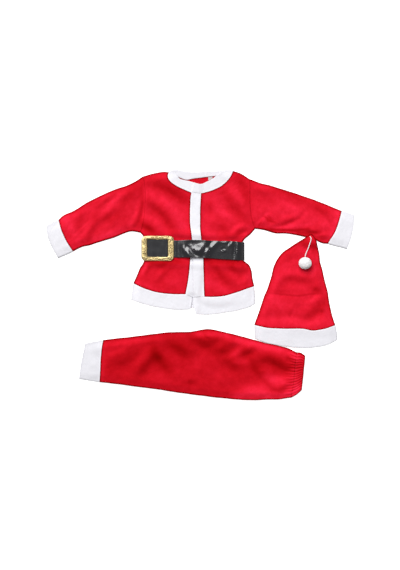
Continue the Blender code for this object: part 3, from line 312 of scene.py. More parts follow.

# ---------------------------------------------------------------- folds: points x, y; half width; drop
# Across each line the cloth falls by so much, away from LIGHT_SIDE; a drop below 0 is a rise.
# A fall is also painted darker and a rise lighter: painted shade and painted light.
JACKET_FALLS = (
    # left front
    (((-127, 257), (-100, 250), (-76, 238), (-50, 221), (-31, 204)), 16.5, 6.2),
    (((-130.1, 234.2), (-103.3, 219.5), (-78.9, 200.1), (-59.5, 170.8), (-42.4, 141.6)), 12.8, -3.2),
    (((-133, 206), (-113, 193), (-89, 171), (-74, 151), (-66, 131)), 12, 5.2),
    (((-137.4, 170.8), (-120.4, 166), (-103.3, 151.3), (-91.1, 134.3)), 7.3, -1.9),
    (((-139.8, 151.3), (-125.2, 141.6), (-108.2, 129.4)), 9.1, 4.0),
    (((-132.5, 49), (-149.6, 24.7)), 6.0, -1.0),
    (((-125.2, 49), (-142.3, 24.7)), 6.5, 1.4),
    (((-79, 58.8), (-98.4, 49), (-113, 53.9)), 9.1, 2.8),
    (((-74, 44.2), (-98.4, 19.8), (-108.2, 5.2)), 9.1, 2.6),
    (((-93.6, 34.4), (-113, 14.9)), 7.3, -1.2),
    (((-62, 32), (-45, 4)), 14.1, -0.9),
    # left sleeve
    (((-147.2, 251.2), (-152, 229.3), (-176.4, 209.8)), 13, 1.5),
    (((-176.4, 243.9), (-198.3, 226.9), (-225.1, 200.1), (-249.5, 175.7)), 7.3, -1.7),
    (((-215.4, 224.4), (-244.6, 209.8), (-273.8, 200.1)), 6.5, 1.3),
    (((-195.9, 207.4), (-225.1, 190.3), (-249.5, 168.4), (-273.8, 148.9), (-293.3, 127), (-312.8, 105.1)),
     7.3, -1.7),
    (((-217.8, 183), (-244.6, 168.4), (-264.1, 151.3), (-273.8, 129.4), (-281.1, 107.5)), 9.8, 2.7),
    (((-165, 236), (-182, 220)), 12, 1.0),
    (((-288, 200), (-298, 171), (-310, 140)), 10.5, 1.5),
    (((-259, 200), (-240, 217), (-215, 237)), 4.2, -1.0),
    (((-249, 193), (-230, 202.5), (-203, 217)), 4.0, -0.9),
    (((-318, 118), (-297, 141), (-272, 163)), 3.6, -0.8),
    (((-262, 190), (-243, 196), (-226, 206)), 4.5, 0.8),
    (((-152, 212.2), (-159.3, 180.6), (-176.4, 146.5)), 6.0, -1.4),
    (((-144.7, 209.8), (-149.6, 180.6), (-156.9, 156.2), (-169.1, 141.6)), 5.2, 1.4),
    (((-264.1, 112.4), (-230, 127), (-195.9, 139.2)), 7.3, -1.3),
    (((-225.1, 166), (-215.4, 151.3)), 10.4, 1.4),
    (((-337.2, 156.2), (-327.4, 136.7)), 11.4, -1.4),
    # right front
    (((80.6, 273.5), (99.8, 263.8), (119, 254.2)), 15.6, 3.0),
    (((71, 249.4), (85.4, 230.2), (104.6, 206.1)), 8.5, -2.2),
    (((99.8, 244.6), (114.2, 220.6), (121.5, 191.7)), 11, 2.6),
    (((61.4, 229), (80.6, 198), (102, 174), (118, 163)), 13.5, 4.3),
    (((42.1, 201.3), (61.4, 182.1), (85.4, 167.7)), 10.1, -2.5),
    (((18.1, 194.1), (32.5, 194.1)), 10.4, 2.2),
    (((8.5, 177), (37, 160)), 16.8, -1.8),
    (((42.1, 150), (56, 142), (68, 122)), 12, 3.6),
    (((104.6, 153.3), (85.4, 138.8), (75.8, 129.2)), 6.0, -1.7),
    (((109.5, 138.8), (95, 131.6), (85.4, 119.6)), 7.8, 3.0),
    (((119, 131.6), (104.6, 117.2)), 5.3, -1.3),
    (((27.7, 57.1), (42.1, 37.9), (61.4, 13.8), (80.6, -0.6)), 10.4, 3.6),
    (((66.2, 57.1), (85.4, 37.9), (104.6, 28.3)), 10.4, 3.2),
    (((75.8, 23.4), (90.2, 13.8)), 8.7, -1.4),
    (((99.8, 9), (123.9, 28.3)), 8.7, -2.2),
    (((13.3, 28.3), (18.1, -0.6)), 11.4, -1.4),
    (((-12, -33), (6, -43), (35, -52), (80, -50)), 9.1, 2.4),
    (((-139, 254), (-137, 231), (-138.5, 190.5), (-143.5, 154)), 3.6, -0.9),
    (((78, 60), (82, 46)), 3.4, 1.1),
    (((105, 55), (108, 41)), 5.2, 1.4),
    # right sleeve
    (((133.5, 237), (150, 229), (172, 222)), 14, 1.9),
    (((138.3, 249.4), (172, 239.8)), 6.0, -1.0),
    (((181.6, 244.6), (229.7, 225.4), (258.5, 211)), 6.5, 1.6),
    (((196, 206.1), (229.7, 191.7), (248.9, 177.3)), 11.4, -1.6),
    (((287.4, 201.3), (301.8, 186.9), (316.2, 172.5)), 10.4, 2.8),
    (((326, 182), (340, 170)), 11.4, -1.3),
    (((191.2, 148.5), (220, 158), (244.1, 167.7), (258.5, 182.1)), 6.5, 2.2),
    (((259, 175.9), (234.3, 154.2), (212.1, 143)), 7.3, -1.7),
    (((143.1, 153.3), (162.3, 167.7)), 5.3, -1.2),
    (((172, 148.5), (186.4, 158)), 4.7, -0.9),
    (((170, 173), (178, 162)), 3.4, 1.3),
    (((200.8, 172.5), (229.7, 170.1)), 6.0, -0.9),
    (((181.6, 143.6), (239.3, 142)), 4.7, -1.0),
    (((258.5, 134), (280, 133), (297, 131.6)), 5.2, 2.1),
    (((160, 232), (206, 229), (239, 217), (287, 197), (316, 182)), 9, 1.5),
    (((196, 214), (222, 200), (248, 187), (270, 178)), 4.0, -0.5),
    (((148, 156), (160, 172), (176, 181)), 4.4, -0.9),
    (((297, 129.2), (321, 129.2)), 6.0, -1.3),
    (((297, 162.9), (321, 143.6)), 11.4, -1.6),
    (((285, 119), (318, 114)), 5.2, 1.4),
    (((166, 144), (186, 137), (216, 136), (246, 131), (288, 120), (306, 112)), 2.8, 0.8),
)
HAT_FALLS = (
    (((250.8, 105.4), (271.9, 93.3)), 6.5, 1.4),
    (((277.9, 102.4), (290, 87.3)), 6.5, 1.8),
    (((246, 92), (262, 82)), 8.7, -1.4),
    (((281, 75), (291, 63)), 8.7, -1.3),
    (((235.7, 81.3), (220.7, 72.2), (202.6, 54.2)), 10.4, 2.2),
    (((199.6, 39.1), (226.7, 45.1), (244.8, 33.1)), 14.1, -1.3),
    (((283.9, 51.1), (296, 54.2)), 5.2, 1.3),
    (((200, 1), (211, 12), (227, 17), (245, 15.5), (264, 13), (288, 5)), 11, 3.1),
    (((202.6, 18), (217.7, 30), (244.8, 28.5), (274.9, 27)), 10.1, -1.4),
    (((279, -9), (299, -15)), 9.5, 4.2),
    (((172.5, -19.7), (193.5, -22.7), (214.6, -24.2), (244.8, -26.6), (274.9, -22.7), (305, -21.2)),
     2.5, 0.8),
    (((176, -14), (200, -17), (226, -18)), 7.8, 1.4),
    (((250.8, -42.3), (274.9, -39.2), (302, -24.2)), 6.0, -1.2),
    (((311, -30.2), (305, -42.3), (293, -54.3), (283.9, -66.4), (268.9, -75.4), (253.8, -81.4)), 10.8, 2.7),
    (((299, -63.3), (308, -66.4)), 7.8, 2.2),
    (((217, -72), (232, -73)), 9.1, 2.2),
    (((178.5, -66.4), (199.6, -75.4)), 13.0, 1.4),
    (((145.3, -93.5), (178.5, -89), (202.6, -87.5), (238.7, -90.5), (268.9, -96.5), (293, -90.5), (311, -86),
      (329, -96.5)), 11.4, -2.7),
    (((172, -32), (205, -38)), 14.1, -1.3),
    (((238, -50), (252, -48)), 7.8, 1.4),
    (((214.6, 66.2), (196.6, 33.1), (187.5, 6), (175.5, -30.2), (160.4, -66.4)), 7.3, -1.0),
)
LEG_FALLS = (
    (((-224.2, -200.7), (-196.7, -190.8), (-173.1, -181), (-153.4, -167.2)), 18.2, 4.6),
    (((-236, -175.1), (-208.5, -167.2), (-181, -151.5)), 7.3, -1.3),
    (((-157, -227), (-141, -208), (-126, -189), (-112, -177)), 15.6, 5.4),
    (((-153.4, -194.8), (-137.7, -175.1), (-125.9, -159.4)), 11.4, -2.0),
    (((-72, -148), (-56, -157), (-38, -168), (-15, -168)), 15.5, 3.0),
    (((-30, -131), (-10, -137), (14, -147), (33, -140), (49, -130)), 13.5, 5.2),
    (((30, -163), (50, -165), (76, -161)), 11.5, 4.6),
    (((60, -152), (82, -146), (106, -143)), 8, 1.7),
    (((78, -172), (98, -160)), 8.7, -1.8),
    (((102.2, -171.2), (121.9, -165.3), (133.7, -159.4)), 9.1, 3.6),
    (((52, -188), (74, -194), (86, -203), (100, -214)), 13, 4.4),
    (((121.9, -184), (133.7, -204), (145.5, -220), (161.2, -230.2)), 11.5, 4.4),
    (((145.5, -190), (165.2, -185), (188.7, -194), (212.3, -206), (236, -204)), 12.5, 5.8),
    (((212.3, -171.2), (224.1, -183), (235.9, -194.8)), 7.8, 2.8),
    (((169.1, -234.1), (188.7, -240), (212.3, -230.2)), 14.1, -3.1),
    (((163, -240), (175, -255), (193, -262), (212, -255), (228, -240)), 6.5, 1.6),
    (((92, -264), (130, -258), (165, -264), (215, -268)), 13.5, -3.0),
    (((40, -122), (90, -134), (141.5, -146), (200.5, -160), (236, -176)), 10.1, -2.7),
    (((-230, -146), (-150, -137), (-80, -128)), 7.3, -1.3),
    (((-114, -222), (-67, -238)), 19.5, -2.0),
    (((-19.7, -194.8), (3.9, -198.7)), 19.5, -2.2),
    (((-33, -242), (-14, -241)), 9.1, 2.4),
    (((35.4, -234.1), (55, -222.3)), 14.1, -1.8),
    (((-215, -222), (-181, -230)), 15.6, 0.9),
    (((8, -117), (12, -126), (22, -133)), 3.4, 1.3),
    (((-8, -121), (0, -128)), 5.3, -0.9),
)

# ---------------------------------------------------------------- painted light and shade: points x, y; half width; shade
# Painted in the cloth's colour: above 0 a patch is darker, painted shade; below 0 lighter, painted light.
JACKET_PAINTED_SHADING = (
    (((-45, 186), (-40, 140)), 12, -0.1),
    (((-142, 150), (-130, 139)), 9, 0.3),
    (((-166, 249), (-196, 200)), 14, 0.2),
    (((-146, 245), (-149, 190)), 8, 0.12),
    (((-335, 165), (-325, 148)), 13, -0.2),
    (((-250, 118), (-215, 128)), 10, -0.16),
    (((-303, 165), (-300, 150)), 12, 0.05),
    (((-245, 168), (-210, 168)), 13, 0.12),
    (((-335, 166), (-292, 186)), 11, -0.12),
    (((-108, 248), (-76, 235), (-48, 218)), 12, 0.1),
    (((-142, 34), (-136, 50)), 5, -0.3),
    (((-155, 6), (-112, -9)), 4, -0.16),
    (((40, 188), (66, 170)), 8, -0.1),
    (((88, 242), (100, 222)), 5, -0.08),
    (((-70, 15), (-45, 2)), 15, -0.08),
    (((-122, 60), (-60, 60)), 8, 0.3),
    (((12, 60), (98, 57)), 7, 0.3),
    (((20, 5), (60, -14)), 12, -0.18),
    (((-132, 119), (-30, 118)), 6, 0.14),
    (((8, 119), (98, 114)), 6, 0.12),
    (((165, 186), (230, 182), (292, 160)), 17, -0.1),
    (((346, 186), (336, 150), (324, 116)), 8, -0.22),
    (((97, 274), (112, 240)), 10, 0.14),
    (((8, 142), (24, 128)), 11, -0.14),
    (((14, 226), (40, 214)), 12, -0.12),
    (((158, 139), (187, 138.5), (240, 137.5), (268, 140)), 3.0, 0.34),
    (((196, 132.5), (236, 130.5)), 2.2, -0.28),
    (((244, 134), (272, 130), (297, 133)), 5.5, 0.2),
    (((188, 144.5), (236, 148), (272, 152)), 4.5, -0.16),
    (((160, 171), (167, 166)), 2.6, 0.3),
    (((171, 160), (183, 157)), 2.8, 0.32),
    (((146, 147), (153, 161)), 2.4, 0.26),
    (((300, 122), (318, 123)), 3.0, 0.2),
)
HAT_PAINTED_SHADING = (
    (((262, 106), (285, 100)), 9, 0.3),
    (((284, 80), (293, 66)), 6, 0.1),
    (((291, 62), (286, 40)), 8, -0.16),
    (((306, -45), (280, -72)), 13, 0.1),
    (((205, 50), (190, 10)), 12, -0.04),
    (((180, -40), (200, -50)), 14, -0.08),
)
LEG_PAINTED_SHADING = (
    (((104, -277), (140, -274), (200, -279), (236, -268)), 14, -0.42),
    (((130, -256), (158, -254)), 12, -0.2),
    (((254, -188), (250, -235)), 9, 0.22),
    (((-241, -150), (-246, -232)), 8, -0.16),
    (((-66, -150), (-52, -160)), 16, 0.24),
    (((-108, -178), (-98, -188), (-88, -202)), 14, 0.34),
    (((-112, -160), (-106, -178)), 12, 0.16),
    (((172, -232), (204, -240)), 12, -0.4),
    (((240, -240), (240, -262)), 12, -0.15),
    (((100, -141), (150, -152), (205, -166), (238, -178)), 12, -0.36),
    (((-4, -121), (60, -125)), 8, -0.32),
    (((96, -192), (110, -192)), 8, -0.2),
    (((84, -172), (92, -168)), 6, -0.2),
    (((-225, -150), (-160, -140)), 9, -0.1),
)
# The same for the white trim alone.
TRIM_PAINTED_SHADING = (
    (((318, 98), (368, 88)), 13, 0.7),
    (((-381, 116), (-357, 68)), 6, 0.45),
    (((-356, 67), (-322, 82)), 9, 0.45),
    (((222, -126), (262, -138)), 14, 0.25),
    (((300, -122), (338, -116)), 14, 0.3),
    (((-19.7, 64), (-18.4, 20), (-18.9, -28)), 1.7, 0.9),
    (((-14, 232), (0, 231)), 3.5, 0.6),
    (((-64, 271), (-52, 258)), 7, 0.4),
    (((52, 272), (62, 262)), 7, 0.35),
    (((-66, 284), (-40, 279), (10, 279), (50, 284)), 5, 0.45),
    (((-12, 220), (-11, 120), (-8, 20)), 12, -0.35),
    (((-165, -18), (-100, -38), (-35, -42)), 18, -0.35),
    (((5, -50), (60, -48), (130, -30)), 18, -0.3),
    (((60, -48), (110, -44)), 8, 0.3),
    (((-262, -160), (-256, -172)), 9, 0.3),
    (((-276, -198), (-268, -204)), 8, 0.25),
    (((-303, -231), (-251, -239)), 5, 0.5),
)
# On the glossy strap a rise faces the light and shines.
BELT_FALLS = (
    (((-32, 109), (-37.5, 98), (-31, 86), (-21, 76), (-8, 70.5), (6, 70)), 5.6, -2.6),
    (((-39.2, 104), (-44, 90.7), (-40, 70)), 3.4, -1.2),
    (((-18, 93), (10, 100)), 12.5, -6.6),
    (((40, 111), (27, 99), (19, 91), (13.5, 82), (12, 67)), 5.6, -3.0),
    (((77, 108.5), (71, 98)), 3.0, -1.8),
    (((54, 85.5), (61, 88)), 2.6, -1.4),
    (((50, 108), (66, 107)), 1.8, -0.9),
    (((90, 107), (86.5, 68)), 3.8, -2.0),
    (((97, 106), (98, 70)), 2.0, -0.8),
    (((103.5, 105), (104, 68)), 1.6, -0.6),
    (((-59, 106), (-61, 76)), 2.4, -0.8),
    (((-68, 104), (-69, 72)), 2.0, -0.5),
)


# ---------------------------------------------------------------- curves
def smoothstep(t):
    t = np.clip(t, 0.0, 1.0)
    return t * t * (3.0 - 2.0 * t)


def lip(distance, reach):
    """A quarter ellipse: 0 at an edge, 1 from reach inwards."""
    return np.sqrt(np.clip(1.0 - (1.0 - np.clip(distance / reach, 0.0, 1.0)) ** 2, 0.0, 1.0))


def unit(vectors):
    return vectors / np.maximum(np.linalg.norm(vectors, axis=-1, keepdims=True), 1e-12)


def edge(rows, per_span=16):
    """Rows t, x, y along the cubic whose slope at each point is the mean of its two chords."""
    points = np.array(rows, dtype=float)
    length = np.append(0.0, np.cumsum(np.linalg.norm(np.diff(points, axis=0), axis=1)))
    slope = np.gradient(points, length, axis=0)
    t = np.unique(np.concatenate([np.linspace(a, b, per_span) for a, b in zip(length, length[1:])]))
    i = np.clip(np.searchsorted(length, t, side="right") - 1, 0, len(points) - 2)
    span = (length[i + 1] - length[i])[:, None]
    s = (t - length[i])[:, None] / span
    curve = ((2 * s**3 - 3 * s**2 + 1) * points[i] + (s**3 - 2 * s**2 + s) * span * slope[i]
             + (3 * s**2 - 2 * s**3) * points[i + 1] + (s**3 - s**2) * span * slope[i + 1])
    run = np.append(0.0, np.cumsum(np.linalg.norm(np.diff(curve, axis=0), axis=1)))
    return np.column_stack((run / run[-1], curve))


def as_edge(rows):
    """Listed points as an edge; an edge that was made before stays as it is."""
    return rows if isinstance(rows, np.ndarray) else edge(rows)


def joined(edges, shares):
    """One edge from several end to end; shares are the places of their ends from 0 to 1."""
    rows = [np.column_stack((a + (b - a) * piece[:, 0], piece[:, 1:]))
            for piece, a, b in zip(map(as_edge, edges), shares, shares[1:])]
    return np.concatenate([rows[0]] + [piece[1:] for piece in rows[1:]])


def along(line, t):
    return np.stack((np.interp(t, line[:, 0], line[:, 1]), np.interp(t, line[:, 0], line[:, 2])), axis=-1)


def straight(start, end):
    return np.array(((0.0, *start), (1.0, *end)))


def chain(*edges):
    """A polyline x, y through several edges, end to end."""
    return np.concatenate([edge(rows, 7)[:, 1:] for rows in edges])


def distance(x, y, lines):
    """From each point to the nearest point of several polylines."""
    nearest = np.full(np.shape(x), np.inf)
    for line in lines:
        for (ax, ay), (bx, by) in zip(line, line[1:]):
            length = max((bx - ax) ** 2 + (by - ay) ** 2, 1e-9)
            t = np.clip(((x - ax) * (bx - ax) + (y - ay) * (by - ay)) / length, 0.0, 1.0)
            nearest = np.minimum(nearest, np.hypot(x - ax - t * (bx - ax), y - ay - t * (by - ay)))
    return nearest


class Patch:
    """A four-sided piece of cloth: u runs from the left edge to the right, v from the top to the bottom.

    A point is the sum of the two ruled surfaces between opposite edges, less the one between corners.
    """

    def __init__(self, top, bottom, left, right, samples=240):
        self.t = np.linspace(0.0, 1.0, samples + 1)
        edges = (along(as_edge(line), self.t) for line in (top, bottom, left, right))
        self.top, self.bottom, self.left, self.right = edges

    def side(self, points, t):
        return np.stack((np.interp(t, self.t, points[:, 0]), np.interp(t, self.t, points[:, 1])), axis=-1)

    def at(self, u, v):
        across, down = u[..., None], v[..., None]
        ruled = ((1 - down) * self.side(self.top, u) + down * self.side(self.bottom, u)
                 + (1 - across) * self.side(self.left, v) + across * self.side(self.right, v))
        corners = ((1 - down) * ((1 - across) * self.top[0] + across * self.top[-1])
                   + down * ((1 - across) * self.bottom[0] + across * self.bottom[-1]))
        return ruled - corners

    def width(self, v):
        return np.linalg.norm(self.side(self.right, v) - self.side(self.left, v), axis=-1)

    def length(self, u):
        return np.linalg.norm(self.side(self.bottom, u) - self.side(self.top, u), axis=-1)

    def cut(self, layers=1):
        """Width, length and area of the flat piece in metres; a tube's width goes all round."""
        arcs = [np.linalg.norm(np.diff(points, axis=0), axis=1).sum()
                for points in (self.top, self.bottom, self.left, self.right)]
        loop = np.concatenate((self.top, self.right, self.bottom[::-1], self.left[::-1]))
        after = np.roll(loop, -1, axis=0)
        area = 0.5 * abs(np.sum(loop[:, 0] * after[:, 1] - loop[:, 1] * after[:, 0]))
        width, length = max(*arcs[:2], self.width(self.t).max()), max(*arcs[2:], self.length(self.t).max())
        return layers * width * MM, length * MM, layers * area * MM * MM


def grid_lines(size, step=GRID):
    """Places from 0 to 1 across a piece of that size: close along both edges, then every step."""
    near = np.array(NEAR_EDGE)
    near = near[near < size * 0.3]
    steps = max(int(round((size - 2.0 * near[-1]) / step)), 1)
    middle = np.linspace(near[-1], size - near[-1], steps + 1)[1:-1]
    return np.concatenate((near, middle, size - near[::-1])) / size


# ---------------------------------------------------------------- folds
def beside(x, y, line, reach):
    """The points within reach of a line, and there: how far they lie to its lit side, how far past its
    ends, and at which share of the line."""
    centre = line[:, 1:]
    tangent = unit(np.gradient(centre, axis=0))
    normal = np.column_stack((-tangent[:, 1], tangent[:, 0]))
    normal *= np.sign(np.mean(normal, axis=0) @ np.array(LIGHT_SIDE))
    low, high = centre.min(axis=0) - reach, centre.max(axis=0) + reach
    near = (x > low[0]) & (x < high[0]) & (y > low[1]) & (y < high[1])
    px, py = x[near], y[near]
    nearest = np.argmin((px[:, None] - centre[:, 0]) ** 2 + (py[:, None] - centre[:, 1]) ** 2, axis=1)
    off = np.column_stack((px, py)) - centre[nearest]
    across = np.sum(off * normal[nearest], axis=1)
    past = np.sum(off * tangent[nearest], axis=1)
    first, last = nearest == 0, nearest == len(centre) - 1
    past = np.where(first, np.minimum(past, 0.0), np.where(last, np.maximum(past, 0.0), 0.0))
    return near, across, past, line[nearest, 0]


def folded(x, y, falls):
    """Height of all folds, and the shade and light that they paint into the colour.

    A fall is 0.6 of its drop times s exp((1 - s * s) / 2), with s the distance to the lit side over the half
    width. It fades along its line as 0.4 + 0.6 sin, and past the line's ends as exp(-s * s). Its painted
    shade is the faded drop over the half width and FOLD_SOFT, times exp(-s * s); below 0 it is painted light.
    """
    height, shade = np.zeros(np.shape(x)), np.zeros(np.shape(x))
    for points, width, drop in falls:
        near, across, past, share = beside(x, y, edge(points, 9), FOLD_REACH * width)
        s = across / width
        fade = drop * (0.4 + 0.6 * np.sin(math.pi * share)) * np.exp(-((past / width) ** 2))
        height[near] += 0.6 * fade * s * np.exp(0.5 - 0.5 * s * s)
        shade[near] += fade / (width + FOLD_SOFT) * np.exp(-s * s)
    return height, shade


def toned(x, y, tones):
    """Painted shade and light of the broad patches: exp(-s * s) across each line, and half as steep past its
    ends.
    """
    shade = np.zeros(np.shape(x))
    for points, width, strength in tones:
        near, across, past, _ = beside(x, y, edge(points, 9), TONE_REACH * width)
        shade[near] += strength * np.exp(-((across / width) ** 2) - (past / (2.0 * width)) ** 2)
    return shade


def ripples(x, y, seed, shortest, longest, height, count):
    """A sum of plane waves in all directions, each sin(2 pi run / wavelength) and the higher the longer."""
    rng = np.random.default_rng(seed)
    total = np.zeros(np.shape(x))
    for turn, size, phase in rng.random((count, 3)):
        wavelength = shortest * (longest / shortest) ** size
        run = x * math.cos(2.0 * math.pi * turn) + y * math.sin(2.0 * math.pi * turn)
        total += np.sin(2.0 * math.pi * (run / wavelength + phase)) * wavelength / longest
    return height * total / math.sqrt(count / 2.0)


# ---------------------------------------------------------------- heights of the layers
JACKET_CLOSED = (
    chain((CUFF_END_LEFT[0], OVERARM_LEFT[-1]), OVERARM_LEFT[::-1], SHOULDER_LEFT),
    chain(SHOULDER_RIGHT, OVERARM_RIGHT, (OVERARM_RIGHT[-1], CUFF_END_RIGHT[0])),
    chain((CUFF_END_LEFT[-1], UNDERARM_LEFT[-1]), UNDERARM_LEFT[::-1], SIDE_LEFT,
          (SIDE_LEFT[-1], HEM_END_LEFT[0])),
    chain((CUFF_END_RIGHT[-1], UNDERARM_RIGHT[-1]), UNDERARM_RIGHT[::-1], SIDE_RIGHT,
          (SIDE_RIGHT[-1], HEM_END_RIGHT[-1])),
    chain(SHOULDER_END_LEFT), chain(SHOULDER_END_RIGHT),
)
JACKET_LOWER = JACKET_CLOSED[2:4]
HAT_CLOSED = (chain(HAT_BRIM_LEFT[::-1], HAT_LEFT[::-1], HAT_TIP, HAT_RIGHT, HAT_BRIM_RIGHT),)
LEG_CLOSED = (
    chain((LEG_CUFF_END[0], LEG_CUFF_SEAM[0]), LEG_TOP, CASING_TOP),
    chain((LEG_CUFF_END[-1], LEG_CUFF_SEAM[-1]), LEG_FOLD, CASING_FOLD),
)
LEG_ENDS = (chain(LEG_CUFF_END), chain(WAIST_END))
HEM_ENDS = (chain(HEM_END_LEFT), chain(HEM_END_RIGHT), chain(CUFF_END_LEFT), chain(CUFF_END_RIGHT))
HEM_OPEN = (chain(HEM_OPEN_LEFT), chain(HEM_OPEN_RIGHT))
JACKET_SEAMS = tuple(chain(rows) for rows in (NECK_LEFT, NECK_RIGHT, FRONT_EDGE_LEFT, FRONT_EDGE_RIGHT,
                                              HEM_SEAM_LEFT, HEM_SEAM_RIGHT, CUFF_SEAM_LEFT, CUFF_SEAM_RIGHT))
NECK_SEAM = (chain(BACK_NECK),)
HAT_SEAMS = (chain(HAT_SEAM),)
HAT_ENDS = (chain(HAT_BRIM),)
LEG_SEAMS = (chain(LEG_CUFF_SEAM),)
PLACKET_UNDER = edge(PLACKET_UNDER_EDGE)


def rim_shade(x, y, wall, closed, lower, seams):
    """Painted shade along outer edges, more along the lower ones; along the trim's seams painted shade on the
    red side and painted light on the white. Each fades as exp(-s * s), with s the distance over RIM_REACH."""
    at_seam = RIM_SHADE if wall == CLOTH else -TRIM_LIGHT
    return sum(strength * np.exp(-((distance(x, y, lines) / RIM_REACH) ** 2))
               for strength, lines in ((RIM_SHADE, closed), (LOWER_RIM, lower), (at_seam, seams)))


def puffed(x, y, closed):
    """0 along closed edges, 1 from PUFF_REACH inwards."""
    return smoothstep((distance(x, y, closed) - 0.5) / PUFF_REACH)


def flattened(x, y, lines, least, reach):
    """The share least on the lines, 1 from reach away."""
    return least + (1.0 - least) * smoothstep(distance(x, y, lines) / reach)


def floor_soft(height):
    """Height that never goes below 0: under 1 it bends off as exp(height - 1)."""
    return np.where(height > 1.0, height, np.exp(np.minimum(height, 1.0) - 1.0))


def seated(x, y, mid, level, lines):
    """Heights that come down to level along closed edges, as a quarter ellipse."""
    return level + (mid - level) * lip(distance(x, y, lines), EDGE_ROUND)


def belt_middle(x):
    return np.interp(x, *np.transpose(BELT_MIDDLE))


def at_belt(x):
    return (x > BELT_LEFT - BELT_MARGIN) & (x < BELT_RIGHT + BELT_MARGIN)


def beside_belt(x, y, flat, ramp):
    """0 within flat of the belt's middle line, 1 past the ramp."""
    return smoothstep((np.abs(y - belt_middle(x)) - flat) / ramp)


def belt_lift(x, y, reach):
    """What the belt's back stretch raises, full over the strap and none past the ramp beside it."""
    return at_belt(x) * (BELT_THICK + BELT_CLEAR) * (1.0 - beside_belt(x, y, *reach))


def lap_rise(x, y):
    """The right front lies over the left: raised by one trim wall to past the under placket's edge."""
    first, last = PLACKET_UNDER_EDGE[0][1], PLACKET_UNDER_EDGE[-1][1]
    under = along(PLACKET_UNDER, (first - y) / (first - last))[..., 0]
    return (PLUSH + LAP_AIR) * (1.0 - smoothstep((x - under - 1.0) / LAP_RUN))


def jacket_relief(x, y, wall):
    """The puff, the folds and soft ripples, none at the outer edges and under the belt."""
    soft = puffed(x, y, JACKET_CLOSED)
    soft = soft * flattened(x, y, HEM_ENDS, *FLAT_BY_HEM)
    soft = soft * flattened(x, y, HEM_OPEN, *FLAT_BY_OPENING)
    cinch = np.where(at_belt(x), beside_belt(x, y, *CINCH), 1.0)
    height, shade = folded(x, y, JACKET_FALLS)
    height = PUFF + height + ripples(x, y, *RIPPLES["jacket"])
    fine = ripples(x, y, *RIPPLES["jacket fine"])
    # Painted shade in the colour: along the folds, below the belt, in broad patches, and along edges and
    # seams.
    skirt = at_belt(x) * SKIRT_SHADE * (1.0 - smoothstep((y - SKIRT_TOP) / SKIRT_RUN))
    shade = shade * cinch + skirt + toned(x, y, JACKET_PAINTED_SHADING if wall == CLOTH else TRIM_PAINTED_SHADING)
    shade = shade + rim_shade(x, y, wall, JACKET_CLOSED + HEM_ENDS, JACKET_LOWER, JACKET_SEAMS)
    return floor_soft(height * soft * cinch) + fine * cinch, shade


def jacket_back_mid(x, y, wall):
    lift = belt_lift(x, y, BACK_OVER_BELT)
    # Painted shade inside the jacket's back, and more along its neck seam.
    inside = INSIDE_SHADE + NECK_SHADE * np.exp(-((distance(x, y, NECK_SEAM) / NECK_REACH) ** 2))
    return seated(x, y, wall / 2 + lift, EDGE_LEVEL + lift, JACKET_CLOSED), inside


def jacket_front_mid(x, y, wall):
    relief, shade = jacket_relief(x, y, wall)
    mid = LAYER + wall / 2 + belt_lift(x, y, FRONT_OVER_BELT) + relief
    return seated(x, y, mid, EDGE_LEVEL + belt_lift(x, y, BACK_OVER_BELT), JACKET_CLOSED), shade


def jacket_over_mid(x, y, wall):
    mid, shade = jacket_front_mid(x, y, wall)
    return mid + lap_rise(x, y), shade


def sleeve_under_mid(x, y, wall):
    return seated(x, y, np.full(np.shape(x), wall / 2), EDGE_LEVEL, JACKET_CLOSED), np.zeros(np.shape(x))


def pompom_dent(x, y):
    """The pompom weighs the hat's face down round where it lies."""
    low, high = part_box("hat_pompom")
    centre = (low + high) / 2
    depth, reach = POMPOM_DENT
    return 1.0 - depth * np.exp(-(((x - centre.x / MM) ** 2 + (y - centre.y / MM) ** 2) / reach**2))


def hat_lift(x, y):
    return TIP_LIFT * smoothstep((y - TIP_LIFT_FROM) / TIP_LIFT_RUN)


def hat_upper_mid(x, y, wall):
    height, shade = folded(x, y, HAT_FALLS)
    height = PUFF + height + ripples(x, y, *RIPPLES["hat"])
    relief = floor_soft(height * puffed(x, y, HAT_CLOSED) * pompom_dent(x, y))
    relief = relief + ripples(x, y, *RIPPLES["hat fine"])
    lift = hat_lift(x, y)
    tones = HAT_PAINTED_SHADING if wall == CLOTH else TRIM_PAINTED_SHADING
    # Painted shade in the colour: along the folds, in broad patches, on the white band, and along edges and
    # seams.
    shade = shade + toned(x, y, tones) + HAT_TRIM_SHADE * (wall != CLOTH)
    shade = shade + rim_shade(x, y, wall, HAT_CLOSED + HAT_ENDS, HAT_ENDS, HAT_SEAMS)
    return seated(x, y, LAYER + wall / 2 + relief + lift, EDGE_LEVEL + lift, HAT_CLOSED), shade


def hat_under_mid(x, y, wall):
    lift = hat_lift(x, y)
    return seated(x, y, wall / 2 + lift, EDGE_LEVEL + lift, HAT_CLOSED), np.zeros(np.shape(x))


def leg_share(x, y):
    """0 at the trousers' upper edge, 1 at the fold below it."""
    upper = np.concatenate((edge(LEG_TOP)[:, 1:], edge(CASING_TOP)[1:, 1:]))
    lower = np.concatenate((edge(LEG_FOLD)[:, 1:], edge(CASING_FOLD)[1:, 1:]))
    top, fold = np.interp(x, *upper.T), np.interp(x, *lower.T)
    return (top - y) / (top - fold)


